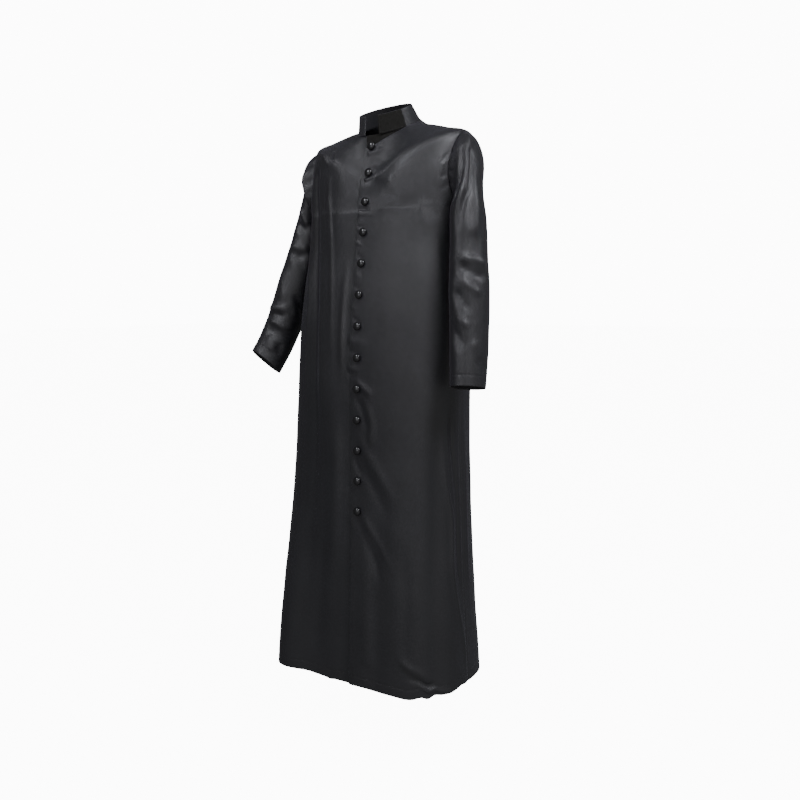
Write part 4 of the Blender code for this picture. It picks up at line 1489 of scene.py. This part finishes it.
class Garment:
    """All the pieces of the cassock."""

    STITCH_ROW = -8
    COLLAR_GRID, COLLAR_TAPE_GRID = (241, 19), (49, 33)
    EDGE_STITCH = 2

    def __init__(self, size: ClothSize) -> None:
        """Prepare forms, creases and materials.

        Args:
            size: shared sizes.
        """
        self.size = size
        self.body = BodyForm()
        self.field = CreaseField(BODY_CREASES, self._on_body)
        self.satin = cloth_material(SATIN)
        self.tape = cloth_material(TAPE)
        self.thread = cloth_material(THREAD)
        self.resin = button_material()
        self.stitches = StitchMaker(self.thread)

    def _on_body(self, angle: np.ndarray, z: np.ndarray) -> tuple[np.ndarray, np.ndarray]:
        """Points and outward directions of the body at angles and heights."""
        level = self.body.level_at(angle, z)
        return self.body.surface(angle, level), self.body.normal(angle, level)

    def sheet(self, name: str, outer: np.ndarray, thickness: float, material: bpy.types.Material,
              slot: Slot, ring: bool = False,
              lines: Sequence[tuple[np.ndarray, np.ndarray]] = ()) -> None:
        """Make one sheet of cloth with its stitches.

        Args:
            name: name of the CAD node that it stands for.
            outer: outer grid.
            thickness: the wall's thickness.
            material: its material.
            slot: passed on to the stitch maker, which does not use it.
            ring: whether its rows close on themselves.
            lines: lines of stitches, each with its outward directions.
        """
        wall = ClothWall(outer, thickness, ring)
        piece = finish_piece(name + "_cloth", wall.mesh(name + "_cloth"), material)
        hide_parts(name)
        if lines:
            size = StitchSize()
            rows = [self.stitches.row(line, normals, size) for line, normals in lines]
            self.stitches.make(name + "_stitches", rows, size, slot)
        LOG.info("%s: %d faces, %.4f square metres", name, len(piece.data.polygons), wall.area())

    def hem_line(self, outer: np.ndarray, ring: bool) -> list[tuple[np.ndarray, np.ndarray]]:
        """Stitch line that holds the turned-up hem.

        Args:
            outer: outer grid.
            ring: whether its rows close on themselves.

        Returns:
            One line with its outward directions.
        """
        line = line_above_edge(outer, self.size.hem_fold)
        normals = grid_normals(outer, ring)[self.STITCH_ROW]
        if ring:
            line, normals = np.concatenate([line, line[:1]]), np.concatenate([normals, normals[:1]])
        return [(line, normals)]

    def build_body(self) -> None:
        """Fronts, back and the tape below the collar."""
        panels = BodyPanels(self.body, self.field, self.size)
        for name, outer, hangs in (("front_left", panels.left(), ("back", "front_right")),
                                   ("front_right", panels.right(), ("back",)),
                                   ("back", panels.back(), ("collar",))):
            self.sheet(name, outer, self.size.wall, self.satin, Slot.SATIN,
                       lines=self.hem_line(outer, False))
        self.sheet("neck_tape", panels.neck_tape(), self.size.tape, self.tape, Slot.TAPE)

    def build_sleeves(self) -> None:
        """Both sleeves."""
        for name, side, sections, creases in (
                ("sleeve_left", 1.0, LEFT_SLEEVE_SECTIONS, LEFT_SLEEVE_CREASES),
                ("sleeve_right", -1.0, RIGHT_SLEEVE_SECTIONS, RIGHT_SLEEVE_CREASES)):
            form = SleeveForm(self.body, side, sections)
            field = CreaseField(creases, lambda turn, share, form=form: (form.surface(turn, share),
                                                                         form.normal(turn, share)))
            outer = sleeve_grid(form, field, self.size)
            self.sheet(name, outer, self.size.wall, self.satin, Slot.SATIN,
                       ring=True, lines=self.hem_line(outer, True))

    def build_collar(self) -> None:
        """Collar and its tape, each with stitched edges."""
        collar = Collar()
        first, last = self.EDGE_STITCH, -self.EDGE_STITCH - 1
        inside = slice(first, -self.EDGE_STITCH)
        band = collar.grid(1.0, 0.0, *self.COLLAR_GRID)
        normals = grid_normals(band, False)
        self.sheet("collar", band, self.size.wall, self.satin, Slot.SATIN,
                   lines=[(band[row], normals[row]) for row in (first, last)])
        tape = collar.grid(collar.TAPE_SHARE, 2.0 * SEAM_GAP + self.size.tape, *self.COLLAR_TAPE_GRID)
        over = grid_normals(tape, False)
        edges = ([(tape[row], over[row]) for row in (first, last)]
                 + [(tape[inside, column], over[inside, column]) for column in (first, last)])
        self.sheet("collar_tape", tape, self.size.tape, self.tape, Slot.TAPE,
                   lines=edges)

    def build_buttons(self) -> None:
        """Buttons, each set square to the cloth under it."""
        buttons = Buttons()
        for number, z in enumerate(buttons.heights(), start=1):
            name = f"button_{number:02d}"
            level = self.body.level_at(np.array([0.0]), np.array([z]))
            middle = self.body.front_angle(0.0, level)
            foot = self.body.surface(middle, level)[0]
            below = self.body.surface(middle, level + 0.05)[0] - foot
            lean = math.atan2(-below[1], -below[2])
            outward = np.array((0.0, -math.cos(lean), math.sin(lean)))
            rise = self.field.height(foot[None])[0] + ripple(foot[None], self.size.ripple)[0]
            centre = foot + outward * (rise + 2.0 * SEAM_GAP)
            mesh = buttons.mesh(name + "_dome", centre, lean)
            piece = finish_piece(mesh.name, mesh, self.resin)
            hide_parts(name)
            LOG.info("%s: %d faces", name, len(piece.data.polygons))


# ---------------------------------------------------------------------------------------
# Studio
# ---------------------------------------------------------------------------------------


@dataclass(frozen=True)
class SoftBox:
    """A large soft light."""

    name: str
    place: tuple[float, float, float]
    aim: tuple[float, float, float]
    width: float
    height: float
    power: float


class Studio:
    """Floor, lights, world and camera."""

    FLOOR_Z = -1.585
    CAMERA_PLACE = (1.097, -1.610, -0.422)
    CAMERA_TURN = 33.711
    CAMERA_DIP = 7.524
    CAMERA_ROLL = -0.442
    LENS = 34.23
    WALL_PLACE = (0.740, -0.640, 0.200)
    WALL_GLOW, ROOM_GLOW, BACKDROP_GLOW = 0.44, 0.07, 12.0
    FLOOR_SIZE = 60.0
    LIGHT_COLOUR = (0.93, 0.94, 1.0)
    BOXES = (
        SoftBox("front", (-0.31, -1.86, 1.31), (0.0, -0.1, -0.35), 0.8, 0.8, 25.0),
        SoftBox("near_side", (1.74, -0.47, 1.31), (0.0, -0.1, -0.35), 0.8, 0.8, 40.0),
        SoftBox("middle", (0.35, -2.30, -0.10), (-0.1, -0.1, -0.35), 1.8, 1.3, 10.0),
    )

    def build(self) -> None:
        """Make everything that is not the garment."""
        self.floor()
        self.lights()
        self.world()
        self.camera()

    def floor(self) -> None:
        """Plain pale floor that does not light the cloth."""
        bpy.ops.mesh.primitive_plane_add(size=self.FLOOR_SIZE, location=(0.0, 0.0, self.FLOOR_Z))
        floor = bpy.context.object
        floor.name = "floor"
        floor.data.materials.append(floor_material())
        floor.visible_diffuse = False
        floor.visible_glossy = False

    def lights(self) -> None:
        """Soft boxes."""
        for box in self.BOXES:
            data = bpy.data.lights.new(box.name, "AREA")
            data.shape = "RECTANGLE"
            data.size = box.width
            data.size_y = box.height
            data.energy = box.power
            data.color = self.LIGHT_COLOUR
            lamp = bpy.data.objects.new(box.name, data)
            lamp.location = box.place
            aim = Vector(box.aim) - Vector(box.place)
            lamp.rotation_euler = aim.to_track_quat("-Z", "Y").to_euler()
            bpy.context.scene.collection.objects.link(lamp)

    def world(self) -> None:
        """White backdrop for the camera, and a pale wall on the near side in a dim room for the cloth."""
        world = bpy.data.worlds.new("studio")
        world.use_nodes = True
        bpy.context.scene.world = world
        tree = NodeMaker(world.node_tree)
        direction = tree.value("ShaderNodeTexCoord", {}, {}, "Generated")
        axes = tree.node("ShaderNodeSeparateXYZ", {}, {0: direction})
        side, front, height = (Signal(tree, axes.outputs[axis]) for axis in range(3))
        facing = ((side * self.WALL_PLACE[0] + front * self.WALL_PLACE[1] + height * self.WALL_PLACE[2])
                  * 0.5 + 0.5).clamped(0.0, 1.0)
        glow = facing * facing * self.WALL_GLOW + self.ROOM_GLOW
        seen = tree.value("ShaderNodeLightPath", {}, {}, "Is Camera Ray")
        strength = glow * (1.0 - seen) + seen * self.BACKDROP_GLOW
        shader = tree.node("ShaderNodeBackground", {},
                           {"Color": (1.0, 1.0, 1.0, 1.0), "Strength": strength})
        tree.node("ShaderNodeOutputWorld", {}, {"Surface": shader.outputs[0]})

    def camera(self) -> None:
        """Camera at the wearer's front left."""
        data = bpy.data.cameras.new("camera")
        data.sensor_width = 36.0
        data.lens = self.LENS
        camera = bpy.data.objects.new("camera", data)
        turn = (Matrix.Rotation(math.radians(self.CAMERA_TURN), 4, "Z")
                @ Matrix.Rotation(math.radians(90.0 - self.CAMERA_DIP), 4, "X")
                @ Matrix.Rotation(math.radians(self.CAMERA_ROLL), 4, "Z"))
        camera.matrix_world = Matrix.Translation(self.CAMERA_PLACE) @ turn
        bpy.context.scene.collection.objects.link(camera)
        bpy.context.scene.camera = camera


def main() -> None:
    """Build the garment's looks and the studio."""
    logging.basicConfig(level=logging.INFO, format="%(name)s: %(message)s")
    scene = bpy.context.scene
    scene.render.resolution_x = 800
    scene.render.resolution_y = 800
    garment = Garment(ClothSize())
    garment.build_body()
    garment.build_sleeves()
    garment.build_collar()
    garment.build_buttons()
    Studio().build()


if __name__ == "__main__":
    main()
